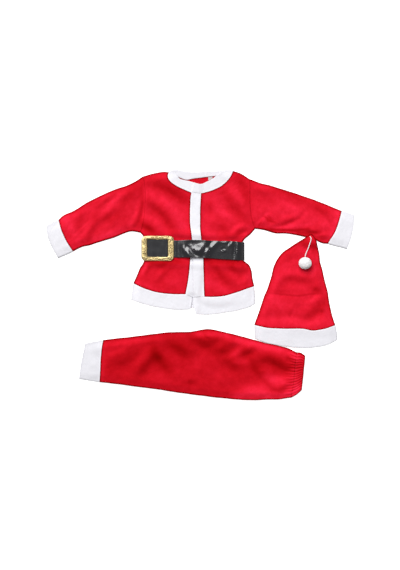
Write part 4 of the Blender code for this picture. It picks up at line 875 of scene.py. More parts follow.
def leg_gathers(x, y):
    """Pleats that the elastic draws, and painted shade: darker between the ridges, lighter on them.

    With s from 0 at the upper edge to 1 at the fold, a ridge is |sin(pi phase)| ** 0.8, where the phase is
    GATHERS s made uneven by two small sines of s. It is full on the casing and fades into the leg over a
    reach that varies as a third sine squared, and it fades at both edges.
    """
    share = leg_share(x, y)
    phase = GATHERS * share + 0.16 * np.sin(9.0 * share + 1.0) + 0.1 * np.sin(23.0 * share)
    ridge = np.abs(np.sin(math.pi * phase)) ** 0.8
    seam_x = np.interp(-y, *np.transpose([(-py, px) for px, py in CASING_SEAM]))
    reach = GATHER_REACH * (0.65 + 0.5 * np.sin(31.0 * share + 2.0) ** 2)
    fade = smoothstep((x - seam_x + reach) / reach)
    fade = fade * smoothstep(share / GATHER_ENDS) * smoothstep((1.0 - share) / GATHER_ENDS)
    return GATHER_HEIGHT * ridge * fade, GATHER_SHADE * (0.55 - ridge) * fade


def leg_upper_mid(x, y, wall):
    middle = LEG_LAYERS * LEG_PITCH + wall / 2
    soft = puffed(x, y, LEG_CLOSED) * flattened(x, y, LEG_ENDS, *FLAT_BY_LEG_ENDS)
    height, shade = folded(x, y, LEG_FALLS)
    gathers, between = leg_gathers(x, y)
    relief = floor_soft((LEG_PUFF + height + ripples(x, y, *RIPPLES["trousers"])) * soft)
    relief = relief + gathers + ripples(x, y, *RIPPLES["trousers fine"])
    # Painted shade in the colour: along the folds and between the gathers, in broad patches, along edges and
    # seams, and all over the trousers.
    shade = shade + between + toned(x, y, LEG_PAINTED_SHADING if wall == CLOTH else TRIM_PAINTED_SHADING)
    shade = shade + rim_shade(x, y, wall, LEG_CLOSED + LEG_ENDS, LEG_CLOSED[1:], LEG_SEAMS)
    shade = shade + (LEG_SHADE if wall == CLOTH else LEG_TRIM_SHADE)
    return seated(x, y, middle + relief, middle - LEG_EDGE_DROP, LEG_CLOSED), shade


def tag_mid(x, y, wall):
    middle = 0.5 * (TAG_CORNERS[0][1] + TAG_CORNERS[2][1])
    curl = TAG_CURL * ((y - middle) / TAG_HALF) ** 2
    return CLOTH + TAG_AIR + wall / 2 + curl, np.zeros(np.shape(x))


# ---------------------------------------------------------------- meshes
def mesh_piece(name, points, quads, finish, attributes=None):
    """A piece from points in millimetres and quads, smooth, riding on the one body.

    A finish is a material and its slot; the slot is not used. Each attribute has a value or a vector for
    every point.
    """
    material, slot = finish
    data = bpy.data.meshes.new(f"{name}_shown")
    data.vertices.add(len(points))
    data.vertices.foreach_set("co", (points * MM).astype(np.float32).ravel())
    data.loops.add(quads.size)
    data.loops.foreach_set("vertex_index", quads.astype(np.int32).ravel())
    data.polygons.add(len(quads))
    data.polygons.foreach_set("loop_start", np.arange(0, quads.size, quads.shape[1], dtype=np.int32))
    data.update(calc_edges=True)
    data.validate()
    data.shade_smooth()
    for key, values in (attributes or {}).items():
        kind, field = ("FLOAT", "value") if values.ndim == 1 else ("FLOAT_VECTOR", "vector")
        data.attributes.new(key, kind, "POINT").data.foreach_set(field, values.astype(np.float32).ravel())
    data.materials.append(material)
    made = bpy.data.objects.new(f"{name}_shown", data)
    bpy.context.scene.collection.objects.link(made)
    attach(made, "root")
    return made


def quads_of(index, wrap=False, flip=False):
    """The quads of a grid of vertex numbers, the first edge down and the second across."""
    if wrap:
        index = np.concatenate((index, index[:, :1]), axis=1)
    corners = (index[:-1, :-1], index[1:, :-1], index[1:, 1:], index[:-1, 1:])
    if flip:
        corners = corners[::-1]
    return np.stack(corners, axis=-1).reshape(-1, 4)


def normals_of(points, wrap=False):
    """Down crossed with across, from the differences of neighbouring points."""
    if wrap:
        across = np.roll(points, -1, axis=1) - np.roll(points, 1, axis=1)
    else:
        across = np.gradient(points, axis=1)
    return unit(np.cross(np.gradient(points, axis=0), across))


def walled(name, mid, wall, rounding, finish, grain, shade, wrap=False, tip=False, pile=0.0):
    """A closed shell: half a wall times the rounding to each side of the mid surface.

    The outer and inner grids share the points where the shell ends, with rounding 0. With tip, the first row
    of a tube is closed by joining each point to the one across from it. Each outer point is lifted by the
    pile times the rounding and a normal draw.
    """
    normal = normals_of(mid, wrap)
    if tip:
        pair = -np.arange(mid.shape[1]) % mid.shape[1]
        normal[0] = unit(normal[0] + normal[0, pair])
    columns = mid.shape[1] // 2 if wrap else mid.shape[1]
    flip = np.mean(normal[:, 1:columns - 1, 2]) < 0.0
    if flip:
        normal = -normal
    lifted = pile * np.random.default_rng(len(name)).standard_normal(mid.shape[:2])
    half = (wall / 2 * rounding)[..., None] * normal
    outer, inner = mid + half + (lifted * rounding)[..., None] * normal, mid - half
    outer[..., 2], inner[..., 2] = np.maximum(outer[..., 2], 0.0), np.maximum(inner[..., 2], 0.0)
    count = mid.shape[0] * mid.shape[1]
    outside = np.arange(count).reshape(mid.shape[:2])
    inside = outside + count
    if tip:
        outside[0], inside[0] = (np.minimum(row, row[pair]) for row in (outside[0], inside[0]))
    border = rounding <= 0.0
    inside = np.where(border, outside, inside)
    quads = np.concatenate((quads_of(outside, wrap, flip), quads_of(inside, wrap, not flip)))
    used, quads = np.unique(quads, return_inverse=True)
    points = np.concatenate((outer.reshape(-1, 3), inner.reshape(-1, 3)))[used]
    both = {"grain": np.concatenate((grain.reshape(-1, 3),) * 2)[used],
            "shade": np.concatenate((shade.ravel(), 0.0 * shade.ravel()))[used]}
    return mesh_piece(name, points, quads.reshape(-1, 4), finish, both)


def end_rounding(distances, reach=LIP):
    """0 on the border itself, then a quarter ellipse that starts from LEAST_LIP."""
    return np.where(distances < 1e-9, 0.0, np.maximum(lip(distances, reach), LEAST_LIP))


def waver(points):
    """Small uneven shifts that keep neighbours together: cloth edges are never quite smooth."""
    x, y = points[..., 0], points[..., 1]
    shift = (ripples(x, y, *RIPPLES["edges in x"]), ripples(x, y, *RIPPLES["edges in y"]))
    return points + np.stack(shift, axis=-1)


def panel(name, patch, height, wall, finish, step=GRID, down=None, pile=0.0):
    """One sheet of cloth: its patch, wavered, with its middle at the height that its layer has there.

    Its wall is rounded off all round. Its points are step apart, or down apart from top to bottom.
    """
    width, length, area = patch.cut()
    u, v = np.meshgrid(grid_lines(width / MM, step), grid_lines(length / MM, down or step))
    flat = patch.at(u, v)
    z, shade = height(flat[..., 0], flat[..., 1], wall)
    mid = np.concatenate((waver(flat), z[..., None]), axis=-1)
    from_edge = np.minimum(np.minimum(u, 1.0 - u) * patch.width(v), np.minimum(v, 1.0 - v) * patch.length(u))
    grain = np.stack((u * width, v * length, 0.0 * u), axis=-1)
    # Painted shade along a red piece's own edge.
    shade = shade + (wall == CLOTH) * SEAM_SHADE * np.exp(-((from_edge / SEAM_REACH) ** 2))
    made = walled(name, mid, wall, end_rounding(from_edge), finish, grain, shade, pile=pile)
    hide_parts(name)


def tube(name, patch, upper, under, wall, finish, closed=False, step=GRID, pile=0.0):
    """A flat tube of cloth: once over its patch at the upper height, round the folded edge and back below.

    At the folded edges, and at a closed first end, the height is the mean of the two.
    """
    width, length, area = patch.cut(2)
    u_line = grid_lines(width / 2 / MM, step)
    u_loop = np.concatenate((u_line, u_line[-2:0:-1]))
    u, v = np.meshgrid(u_loop, grid_lines(length / MM, step))
    flat = patch.at(u, v)
    x, y = flat[..., 0], flat[..., 1]
    top, shade = upper(x, y, wall)
    bottom, _ = under(x, y, wall)
    columns = len(u_line)
    on_top = np.arange(len(u_loop)) < columns
    z = np.where(on_top, top, bottom)
    z[:, [0, columns - 1]] = 0.5 * (top + bottom)[:, [0, columns - 1]]
    if closed:
        z[0] = 0.5 * (top + bottom)[0]
    mid = np.concatenate((waver(flat), z[..., None]), axis=-1)
    from_end = np.minimum(v, 1.0 - v) * patch.length(u)
    rounding = end_rounding(from_end)
    if closed:
        rounding = end_rounding((1.0 - v) * patch.length(u))
    grain = np.stack((u * width / 2, v * length, 0.0 * u), axis=-1)
    shade = np.where(on_top, shade, 0.0)
    # Painted shade along a red piece's own edge.
    shade = shade + (wall == CLOTH) * SEAM_SHADE * np.exp(-((from_end / SEAM_REACH) ** 2))
    made = walled(name, mid, wall, rounding, finish, grain, shade, wrap=True, tip=closed, pile=pile)
    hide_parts(name)


def border(grid):
    """The outer ring of a grid, once round."""
    return np.concatenate((grid[0, :-1], grid[:-1, -1], grid[-1, :0:-1], grid[:0:-1, 0]))


def block(name, patch, layers, finish, step=4.0):
    """Hidden folded layers as one rounded solid: each bulges at the side, uneven, with a groove between.

    A layer's side is SIDE_BULGE (1 - cos a) inwards and half its wall times sin a up from its middle, for a
    from -90 to 90 degrees. Flat faces close the solid below and above.
    """
    width, length, area = patch.cut()
    u, v = np.meshgrid(grid_lines(width / MM, step), grid_lines(length / MM, step))
    ring = border(waver(patch.at(u, v)))
    tangent = unit(np.roll(ring, -1, axis=0) - np.roll(ring, 1, axis=0))
    inward = np.column_stack((-tangent[:, 1], tangent[:, 0]))
    inward *= np.sign(np.sum(inward * (ring.mean(axis=0) - ring), axis=1).sum())
    rows = []
    seed, *waves = RIPPLES["folded sides"]
    for layer in range(layers):
        uneven = SIDE_INSET + ripples(ring[:, 0], ring[:, 1], seed + layer, *waves)
        for angle in np.linspace(-math.pi / 2, math.pi / 2, 7):
            depth = uneven + SIDE_BULGE * (1.0 - math.cos(angle))
            height = np.full(len(ring), layer * LEG_PITCH + CLOTH / 2 * (1.0 + math.sin(angle)))
            rows.append(np.column_stack((ring + inward * depth[:, None], height)))
    sides = np.array(rows[1:-1])
    inset_u, inset_v = FACE_INSET * MM / width, FACE_INSET * MM / length
    face = patch.at(inset_u + u * (1.0 - 2.0 * inset_u), inset_v + v * (1.0 - 2.0 * inset_v))
    low = np.concatenate((face, np.zeros(u.shape + (1,))), axis=-1)
    high = np.concatenate((face, np.full(u.shape + (1,), (layers - 1) * LEG_PITCH + CLOTH)), axis=-1)
    lower = np.arange(u.size).reshape(u.shape)
    upper = lower + u.size
    around = 2 * u.size + np.arange(sides[..., 0].size).reshape(sides.shape[:2])
    around = np.concatenate((border(lower)[None], around, border(upper)[None]))
    points = np.concatenate([part.reshape(-1, 3) for part in (low, high, sides)])
    quads = np.concatenate((quads_of(lower, flip=True), quads_of(upper), quads_of(around, wrap=True)))
    grain = np.column_stack((points[:, :2] * MM, 0.0 * points[:, 0]))
    made = mesh_piece(name, points, quads, finish, {"grain": grain, "shade": np.zeros(len(points))})
    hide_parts(name)


# ---------------------------------------------------------------- materials
def add_node(tree, kind, links=None, **settings):
    """A node with its settings; links gives each input a socket to take or a value to keep."""
    made = tree.nodes.new(kind)
    for key, value in settings.items():
        setattr(made, key, value)
    for key, value in (links or {}).items():
        if isinstance(value, bpy.types.NodeSocket):
            tree.links.new(value, made.inputs[key])
        else:
            made.inputs[key].default_value = value
    return made


def maths(tree, operation, first, second=None, third=None, clamp=False):
    values = {i: value for i, value in enumerate((first, second, third)) if value is not None}
    return add_node(tree, "ShaderNodeMath", values, operation=operation, use_clamp=clamp).outputs[0]


def noise(tree, place, scale, detail, roughness=0.5, distortion=0.0):
    values = {"Vector": place, "Scale": scale, "Detail": detail, "Roughness": roughness,
              "Distortion": distortion}
    return add_node(tree, "ShaderNodeTexNoise", values).outputs["Fac"]


def cells(tree, place, scale):
    return add_node(tree, "ShaderNodeTexVoronoi", {"Vector": place, "Scale": scale}).outputs["Distance"]


def bumped(tree, height, depth):
    values = {"Height": height, "Distance": depth, "Strength": 1.0}
    return add_node(tree, "ShaderNodeBump", values).outputs["Normal"]


def new_group(name, inputs):
    """A node group that works out a colour and a normal; its inputs have the given defaults."""
    tree = bpy.data.node_groups.new(name, "ShaderNodeTree")
    for label, kind, value in inputs:
        made = tree.interface.new_socket(label, in_out="INPUT", socket_type=kind)
        made.default_value = value
    for label, kind in (("Colour", "NodeSocketColor"), ("Normal", "NodeSocketVector")):
        tree.interface.new_socket(label, in_out="OUTPUT", socket_type=kind)
    return tree, tree.nodes.new("NodeGroupInput").outputs, tree.nodes.new("NodeGroupOutput").inputs


def nap_and_painted_shade_group():
    """Brushed knit: its light is 1 plus rubbed patches and flecks, times 1 - 0.7 times the painted shade.

    Red takes the light as it is, green and blue its power 3.2, so that painted shade is deeper in colour and
    painted light paler.
    Flecks and knitted wales dent the normal.
    """
    tree, given, result = new_group("brushed_nap_and_painted_shade", (
        ("Base", "NodeSocketColor", (0.7, 0.01, 0.02, 1.0)), ("Grain", "NodeSocketVector", (0, 0, 0)),
        ("Shade", "NodeSocketFloat", 0.0), ("Rubbed", "NodeSocketFloat", 0.2),
        ("Depth", "NodeSocketFloat", 0.00012)))
    patches = noise(tree, given["Grain"], 60.0, 4.0, 0.65)
    flecks = noise(tree, given["Grain"], 700.0, 3.0, 0.6)
    rubbed = 1.0
    for spots in (patches, flecks):
        rubbed = maths(tree, "MULTIPLY_ADD", maths(tree, "SUBTRACT", spots, 0.5), given["Rubbed"], rubbed)
    # The painted shade darkens or lightens the cloth's colour.
    shaded = maths(tree, "MULTIPLY_ADD", given["Shade"], -0.7, 1.0)
    shaded = maths(tree, "MINIMUM", maths(tree, "MAXIMUM", shaded, 0.28), 1.32)
    light = maths(tree, "MULTIPLY", rubbed, shaded)
    # Green and blue follow the painted light more steeply: a painted sheen.
    deeper = maths(tree, "POWER", light, 3.2)
    parts = add_node(tree, "ShaderNodeSeparateColor", {0: given["Base"]}).outputs
    lit = {i: maths(tree, "MULTIPLY", parts[i], share) for i, share in enumerate((light, deeper, deeper))}
    wales = add_node(tree, "ShaderNodeTexWave", {"Vector": given["Grain"], "Scale": 260.0, "Distortion": 2.0,
                                                 "Detail": 2.0, "Detail Scale": 2.0}).outputs["Fac"]
    height = maths(tree, "MULTIPLY_ADD", wales, 0.35, flecks)
    tree.links.new(add_node(tree, "ShaderNodeCombineColor", lit).outputs[0], result["Colour"])
    tree.links.new(bumped(tree, height, given["Depth"]), result["Normal"])
    return tree


def pile_and_painted_shade_group():
    """Plush and yarn: soft clumps that shade the colour a little, and with fine hairs dent the normal.

    The colour is the base times 1 - 0.14 times the painted shade, plus the clumps' part.
    """
    tree, given, result = new_group("soft_pile_and_painted_shade", (
        ("Base", "NodeSocketColor", (0.85, 0.85, 0.88, 1.0)), ("Grain", "NodeSocketVector", (0, 0, 0)),
        ("Clumps", "NodeSocketFloat", 260.0), ("Depth", "NodeSocketFloat", 0.0004),
        ("Shading", "NodeSocketFloat", 0.16), ("Shade", "NodeSocketFloat", 0.0)))
    clumps = noise(tree, given["Grain"], given["Clumps"], 5.0, 0.7)
    hairs = cells(tree, given["Grain"], maths(tree, "MULTIPLY", given["Clumps"], 4.0))
    height = maths(tree, "MULTIPLY_ADD", hairs, -0.3, clumps)
    # The painted shade darkens or lightens the trim's colour.
    lit = maths(tree, "MULTIPLY_ADD", given["Shade"], -0.14, 1.0)
    lit = maths(tree, "MULTIPLY_ADD", maths(tree, "SUBTRACT", clumps, 0.5), given["Shading"], lit)
    colour = add_node(tree, "ShaderNodeVectorMath", {0: given["Base"], "Scale": lit}, operation="SCALE")
    tree.links.new(colour.outputs[0], result["Colour"])
    tree.links.new(bumped(tree, height, given["Depth"]), result["Normal"])
    return tree


def new_material(name, **values):
    """A material whose one shader keeps these constant values."""
    made = bpy.data.materials.new(name)
    made.use_nodes = True
    shader = made.node_tree.nodes["Principled BSDF"]
    for key, value in values.items():
        shader.inputs[key.replace("_", " ")].default_value = value
    return made, made.node_tree, shader


def use_group(tree, group, shader, links):
    """Adds a node group with those inputs, and takes the shader's colour and normal from it."""
    made = add_node(tree, "ShaderNodeGroup", links, node_tree=group).outputs
    tree.links.new(made["Colour"], shader.inputs["Base Color"])
    tree.links.new(made["Normal"], shader.inputs["Normal"])


def attribute(tree, name, output):
    return add_node(tree, "ShaderNodeAttribute", attribute_name=name).outputs[output]


def object_place(tree):
    return add_node(tree, "ShaderNodeTexCoord").outputs["Object"]


def make_red_knit(nap):
    made, tree, shader = new_material("red_brushed_knit", Roughness=0.7, Sheen_Weight=0.05,
                                      Sheen_Roughness=0.5, Sheen_Tint=(1.0, 0.25, 0.32, 1.0),
                                      Specular_IOR_Level=0.02)
    # The shade attribute is painted shade and, below 0, painted light.
    use_group(tree, nap, shader, {
        "Base": (0.745, 0.0095, 0.028, 1.0), "Grain": attribute(tree, "grain", "Vector"),
        "Shade": attribute(tree, "shade", "Fac"), "Rubbed": 0.42, "Depth": 0.00016})
    return made


def make_white_plush(pile):
    made, tree, shader = new_material("white_plush_trim", Roughness=0.95, Sheen_Weight=0.25,
                                      Sheen_Roughness=0.5, Specular_IOR_Level=0.2)
    # The shade attribute is painted shade and, below 0, painted light.
    use_group(tree, pile, shader, {
        "Base": (0.865, 0.855, 0.905, 1.0), "Grain": attribute(tree, "grain", "Vector"),
        "Shade": attribute(tree, "shade", "Fac"), "Clumps": 210.0, "Depth": 0.0004, "Shading": 0.09})
    return made


def make_tag_tape(nap):
    made, tree, shader = new_material("tag_tape", Roughness=0.6, Specular_IOR_Level=0.4)
    use_group(tree, nap, shader, {
        "Base": (0.62, 0.60, 0.60, 1.0), "Grain": attribute(tree, "grain", "Vector"), "Rubbed": 0.1,
        "Depth": 0.00005})
    return made


def make_white_yarn(pile):
    """Fluffed yarn passes light on to its lower side, so its normals lean upwards."""
    made, tree, shader = new_material("white_yarn", Roughness=0.9, Sheen_Weight=0.3, Sheen_Roughness=0.5,
                                      Specular_IOR_Level=0.2)
    use_group(tree, pile, shader, {"Base": (0.95, 0.93, 0.94, 1.0), "Grain": object_place(tree),
                                   "Clumps": 500.0, "Depth": 0.0003, "Shading": 0.05})
    own = shader.inputs["Normal"].links[0].from_socket
    leant = add_node(tree, "ShaderNodeVectorMath", {0: own, 1: (0.0, 0.0, 1.1)}, operation="ADD").outputs[0]
    leant = add_node(tree, "ShaderNodeVectorMath", {0: leant}, operation="NORMALIZE").outputs[0]
    tree.links.new(leant, shader.inputs["Normal"])
    return made


def make_black_strap():
    """Glossy, with soft crinkles and a fine grain in its normal."""
    made, tree, shader = new_material("black_glossy_strap", Base_Color=(0.004, 0.004, 0.007, 1.0),
                                      Roughness=0.24, Specular_IOR_Level=1.0)
    crinkles = noise(tree, object_place(tree), 170.0, 3.0, distortion=0.6)
    grained = cells(tree, object_place(tree), 1300.0)
    height = maths(tree, "MULTIPLY_ADD", grained, 0.06, crinkles)
    tree.links.new(bumped(tree, height, 0.00014), shader.inputs["Normal"])
    return made


def make_gold_metal():
    """Cast metal, with painted shade: dark brown in its hollows, with uneven edges between the two."""
    made, tree, shader = new_material("gold_cast_metal", Metallic=1.0, Roughness=0.3)
    worn = noise(tree, object_place(tree), 420.0, 4.0, 0.7)
    spread = maths(tree, "SUBTRACT", worn, 0.5)
    painted_hollow_shade = maths(tree, "MULTIPLY_ADD", spread, 1.7, attribute(tree, "shade", "Fac"), True)
    # The dark brown is painted shade.
    colours = {0: painted_hollow_shade, 6: (0.93, 0.745, 0.36, 1.0), 7: (0.12, 0.062, 0.014, 1.0)}
    tint = add_node(tree, "ShaderNodeMix", colours, data_type="RGBA")
    tree.links.new(tint.outputs[2], shader.inputs["Base Color"])
    tree.links.new(bumped(tree, worn, 0.0006), shader.inputs["Normal"])
    return made


NAP_AND_SHADE, PILE_AND_SHADE = nap_and_painted_shade_group(), pile_and_painted_shade_group()
white_yarn = make_white_yarn(PILE_AND_SHADE)

# ---------------------------------------------------------------- finishes: a material and its slot
RED = (make_red_knit(NAP_AND_SHADE), "red_knit")
WHITE = (make_white_plush(PILE_AND_SHADE), "white_plush")
TAG = (make_tag_tape(NAP_AND_SHADE), "tag_tape")
CORD = (white_yarn, "white_cord")
POMPOM = (white_yarn, "white_pompom")
STRAP = (make_black_strap(), "black_strap")
GOLD = (make_gold_metal(), "gold_frame")
WHITE_THREAD = (new_material("stitch_thread", Roughness=0.6, Base_Color=(0.80, 0.80, 0.84, 1.0))[0],
                "white_plush")
RED_THREAD = (new_material("red_thread", Roughness=0.7, Base_Color=(0.78, 0.03, 0.05, 1.0))[0], "red_knit")


# ---------------------------------------------------------------- rods, tubes and balls
def strip_cap(ring):
    """Quads from side to side that close a ring of an even number of points (the last axis)."""
    k = np.arange(ring.shape[-1] // 2 - 1)
    corners = (ring[..., k], ring[..., k + 1], ring[..., -2 - k], ring[..., -1 - k])
    return np.stack(corners, axis=-1).reshape(-1, 4)


def rods(start, end, radii, sides=4, arch=0.0):
    """Points and quads of many small rods: rings at equal steps from start to end, closed at both ends.

    Ring k of n has radii[k]; its middle stands arch 4 s (1 - s) above the line, with s = k / (n - 1).
    """
    share = np.linspace(0.0, 1.0, len(radii))
    direction = unit(end - start)
    steep = np.abs(direction[:, 2:]) > 0.9
    across = unit(np.cross(direction, np.where(steep, (1.0, 0.0, 0.0), (0.0, 0.0, 1.0))))
    up = np.cross(across, direction)
    middle = start[:, None] + (end - start)[:, None] * share[:, None]
    middle = middle + (arch * 4.0 * share * (1.0 - share))[:, None] * up[:, None]
    angle = np.linspace(0.0, 2.0 * math.pi, sides, endpoint=False) + ROD_TURN
    ring = np.cos(angle)[:, None] * across[:, None] + np.sin(angle)[:, None] * up[:, None]
    points = middle[:, :, None] + np.asarray(radii)[:, None, None] * ring[:, None]
    index = np.arange(points[..., 0].size).reshape(points.shape[:3])
    beside_it = np.roll(index, -1, axis=2)
    around = (index[:, :-1], index[:, 1:], beside_it[:, 1:], beside_it[:, :-1])
    quads = [np.stack(around, axis=-1).reshape(-1, 4), strip_cap(index[:, 0]), strip_cap(index[:, -1, ::-1])]
    return points.reshape(-1, 3), np.concatenate(quads)


def merged(parts):
    """Several (points, quads) as one."""
    starts = np.cumsum([0] + [len(points) for points, _ in parts[:-1]])
    return (np.concatenate([points for points, _ in parts]),
            np.concatenate([quads + start for (_, quads), start in zip(parts, starts)]))


def turned_grid(points):
    """Points and quads of rows of rings, closed at the first and last row."""
    index = np.arange(points[..., 0].size).reshape(points.shape[:2])
    quads = np.concatenate((quads_of(index, wrap=True), strip_cap(index[0]), strip_cap(index[-1, ::-1])))
    return points.reshape(-1, 3), quads


def twisted(centre, radius, sides, lobes, turns):
    """A cord of two strands laid round each other, along a centreline.

    Its section is radius (1 - lobes + lobes |cos a|), and turns with the length. Both ends are rounded off.
    """
    tangent = unit(np.gradient(centre, axis=0))
    across = unit(np.cross(tangent, (0.0, 0.0, 1.0)))
    up = np.cross(across, tangent)
    run = np.append(0.0, np.cumsum(np.linalg.norm(np.diff(centre, axis=0), axis=1)))
    angle = np.linspace(0.0, 2.0 * math.pi, sides, endpoint=False)
    reach = radius * (1.0 - lobes + lobes * np.abs(np.cos(angle - turns * math.pi * run[:, None] / run[-1])))
    reach = reach * (0.25 + 0.75 * lip(np.minimum(run, run[-1] - run), radius))[:, None]
    points = centre[:, None] + (reach * np.cos(angle))[..., None] * across[:, None]
    return turned_grid(points + (reach * np.sin(angle))[..., None] * up[:, None])


# ---------------------------------------------------------------- the hat's cord and pompom
def hat_top(x, y):
    """The highest point of the hat's face within 3 mm of x, y along y."""
    near = np.linspace(-3.0, 3.0, 7)
    y = np.asarray(y, dtype=float)[..., None] + near
    mid, _ = hat_upper_mid(np.asarray(x, dtype=float)[..., None] + 0.0 * near, y, CLOTH)
    return np.max(mid, axis=-1) + CLOTH / 2


def make_cord():
    """From the hat's tip along its face, then up into the side of the pompom; its height is smoothed."""
    share = np.linspace(0.0, 1.0, 121)
    route = along(edge(CORD_ROUTE), share)
    rise = CORD_RISE * smoothstep((share - CORD_RISE_FROM) / (1.0 - CORD_RISE_FROM))
    height = hat_top(route[:, 0], route[:, 1]) + CORD_RADIUS + CORD_CLEAR + rise
    reach = 6
    window = np.ones(2 * reach + 1) / (2 * reach + 1)
    height = np.convolve(np.pad(height, reach, mode="edge"), window, mode="valid")
    centre = np.column_stack((route, height))
    length = float(np.linalg.norm(np.diff(centre, axis=0), axis=1).sum())
    made = mesh_piece("hat_cord", *twisted(centre, CORD_OUTER, 24, CORD_LOBES, length / CORD_PITCH), CORD)
    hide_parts("hat_cord")
    return made, centre * MM, length * MM


def directions(turn, polar):
    """Unit vectors at those turns round the upright axis and angles from it."""
    return np.stack((np.cos(turn) * np.sin(polar), np.sin(turn) * np.sin(polar), np.cos(polar)), axis=-1)


def make_pompom():
    """A soft core, and some thousands of short yarn ends that stand out from it, pressed flat below.

    The yarn ends start evenly over a ball, each a golden angle further round than the one before and in equal
    steps of height, and then each is moved and bent a little by normal draws. The core is a ball whose rings
    stop just short of its poles, where a cap closes it.
    """
    low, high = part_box("hat_pompom")
    middle = (low + high) / (2 * MM)
    radius = (high.x - low.x) / (2 * MM)
    squash = (high.z - low.z) / (high.x - low.x)
    face = float(hat_top(middle.x, middle.y))
    centre = np.array((middle.x + POMPOM_SHIFT, middle.y, face + radius * squash * POMPOM_SEAT))
    shape = np.array((*POMPOM_SHAPE, squash))

    rng = np.random.default_rng(7)
    number = np.arange(YARN_ENDS)
    out = directions(math.pi * (1.0 + math.sqrt(5.0)) * number,
                     np.arccos(1.0 - 2.0 * (number + 0.5) / YARN_ENDS))
    out = unit(out + YARN_SPREAD * rng.standard_normal(out.shape))
    bend = unit(out + YARN_BEND * rng.standard_normal(out.shape))
    reach = radius * (YARN_TO + YARN_UNEVEN * rng.standard_normal(YARN_ENDS).clip(-2.0, 1.6))
    start = centre + YARN_FROM * radius * out * shape
    end = centre + reach[:, None] * bend * shape
    end[:, 2] = np.maximum(end[:, 2], face + ON_HAT[1])

    pole, rings, sides = 0.06, 25, 40
    polar, turn = np.meshgrid(np.linspace(pole, math.pi - pole, rings),
                              np.linspace(0.0, 2.0 * math.pi, sides, endpoint=False), indexing="ij")
    core = centre + POMPOM_CORE * radius * directions(turn, polar) * shape
    core[..., 2] = np.maximum(core[..., 2], face + ON_HAT[0])
    core = mesh_piece("hat_pompom_core", *turned_grid(core), POMPOM)
    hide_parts("hat_pompom")
    return core, mesh_piece("hat_pompom_yarn", *rods(start, end, YARN_RADII), POMPOM)


cord, cord_path, cord_length = make_cord()
pompom_core, pompom_yarn = make_pompom()


# ---------------------------------------------------------------- the jacket
left_side = joined((ARMHOLE_LEFT, SIDE_LEFT), ARMHOLE_TO_SIDE)
right_side = joined((ARMHOLE_RIGHT, SIDE_RIGHT), ARMHOLE_TO_SIDE)
shoulders = joined((SHOULDER_LEFT, BACK_NECK, SHOULDER_RIGHT), SHOULDER_NECK_SHOULDER)
front_left = Patch(SHOULDER_LEFT, HEM_SEAM_LEFT, left_side,
                   joined((NECK_LEFT, FRONT_EDGE_LEFT), NECK_TO_FRONT))
front_right = Patch(SHOULDER_RIGHT, HEM_SEAM_RIGHT,
                    joined((NECK_RIGHT, FRONT_EDGE_RIGHT), NECK_TO_FRONT), right_side)
panel("jacket_back", Patch(shoulders, HEM_SEAM_BACK, left_side, right_side), jacket_back_mid, CLOTH, RED,
      step=5.0)
panel("jacket_front_left", front_left, jacket_front_mid, CLOTH, RED)
panel("jacket_front_right", front_right, jacket_over_mid, CLOTH, RED)

sleeve_sides = (
    ("left", OVERARM_LEFT, UNDERARM_LEFT, ARMHOLE_LEFT, CUFF_SEAM_LEFT, CUFF_END_LEFT),
    ("right", OVERARM_RIGHT, UNDERARM_RIGHT, ARMHOLE_RIGHT, CUFF_SEAM_RIGHT, CUFF_END_RIGHT),
)
for side, over, under, armhole, cuff_seam, cuff_end in sleeve_sides:
    sleeve = Patch(armhole, cuff_seam, over, under)
    tube(f"sleeve_{side}", sleeve, jacket_front_mid, sleeve_under_mid, CLOTH, RED)
    cuff = Patch(cuff_seam, cuff_end, straight(over[-1], cuff_end[0]), straight(under[-1], cuff_end[-1]))
    tube(f"sleeve_cuff_{side}", cuff, jacket_front_mid, sleeve_under_mid, PLUSH, WHITE, step=TRIM_GRID,
         pile=PILE)

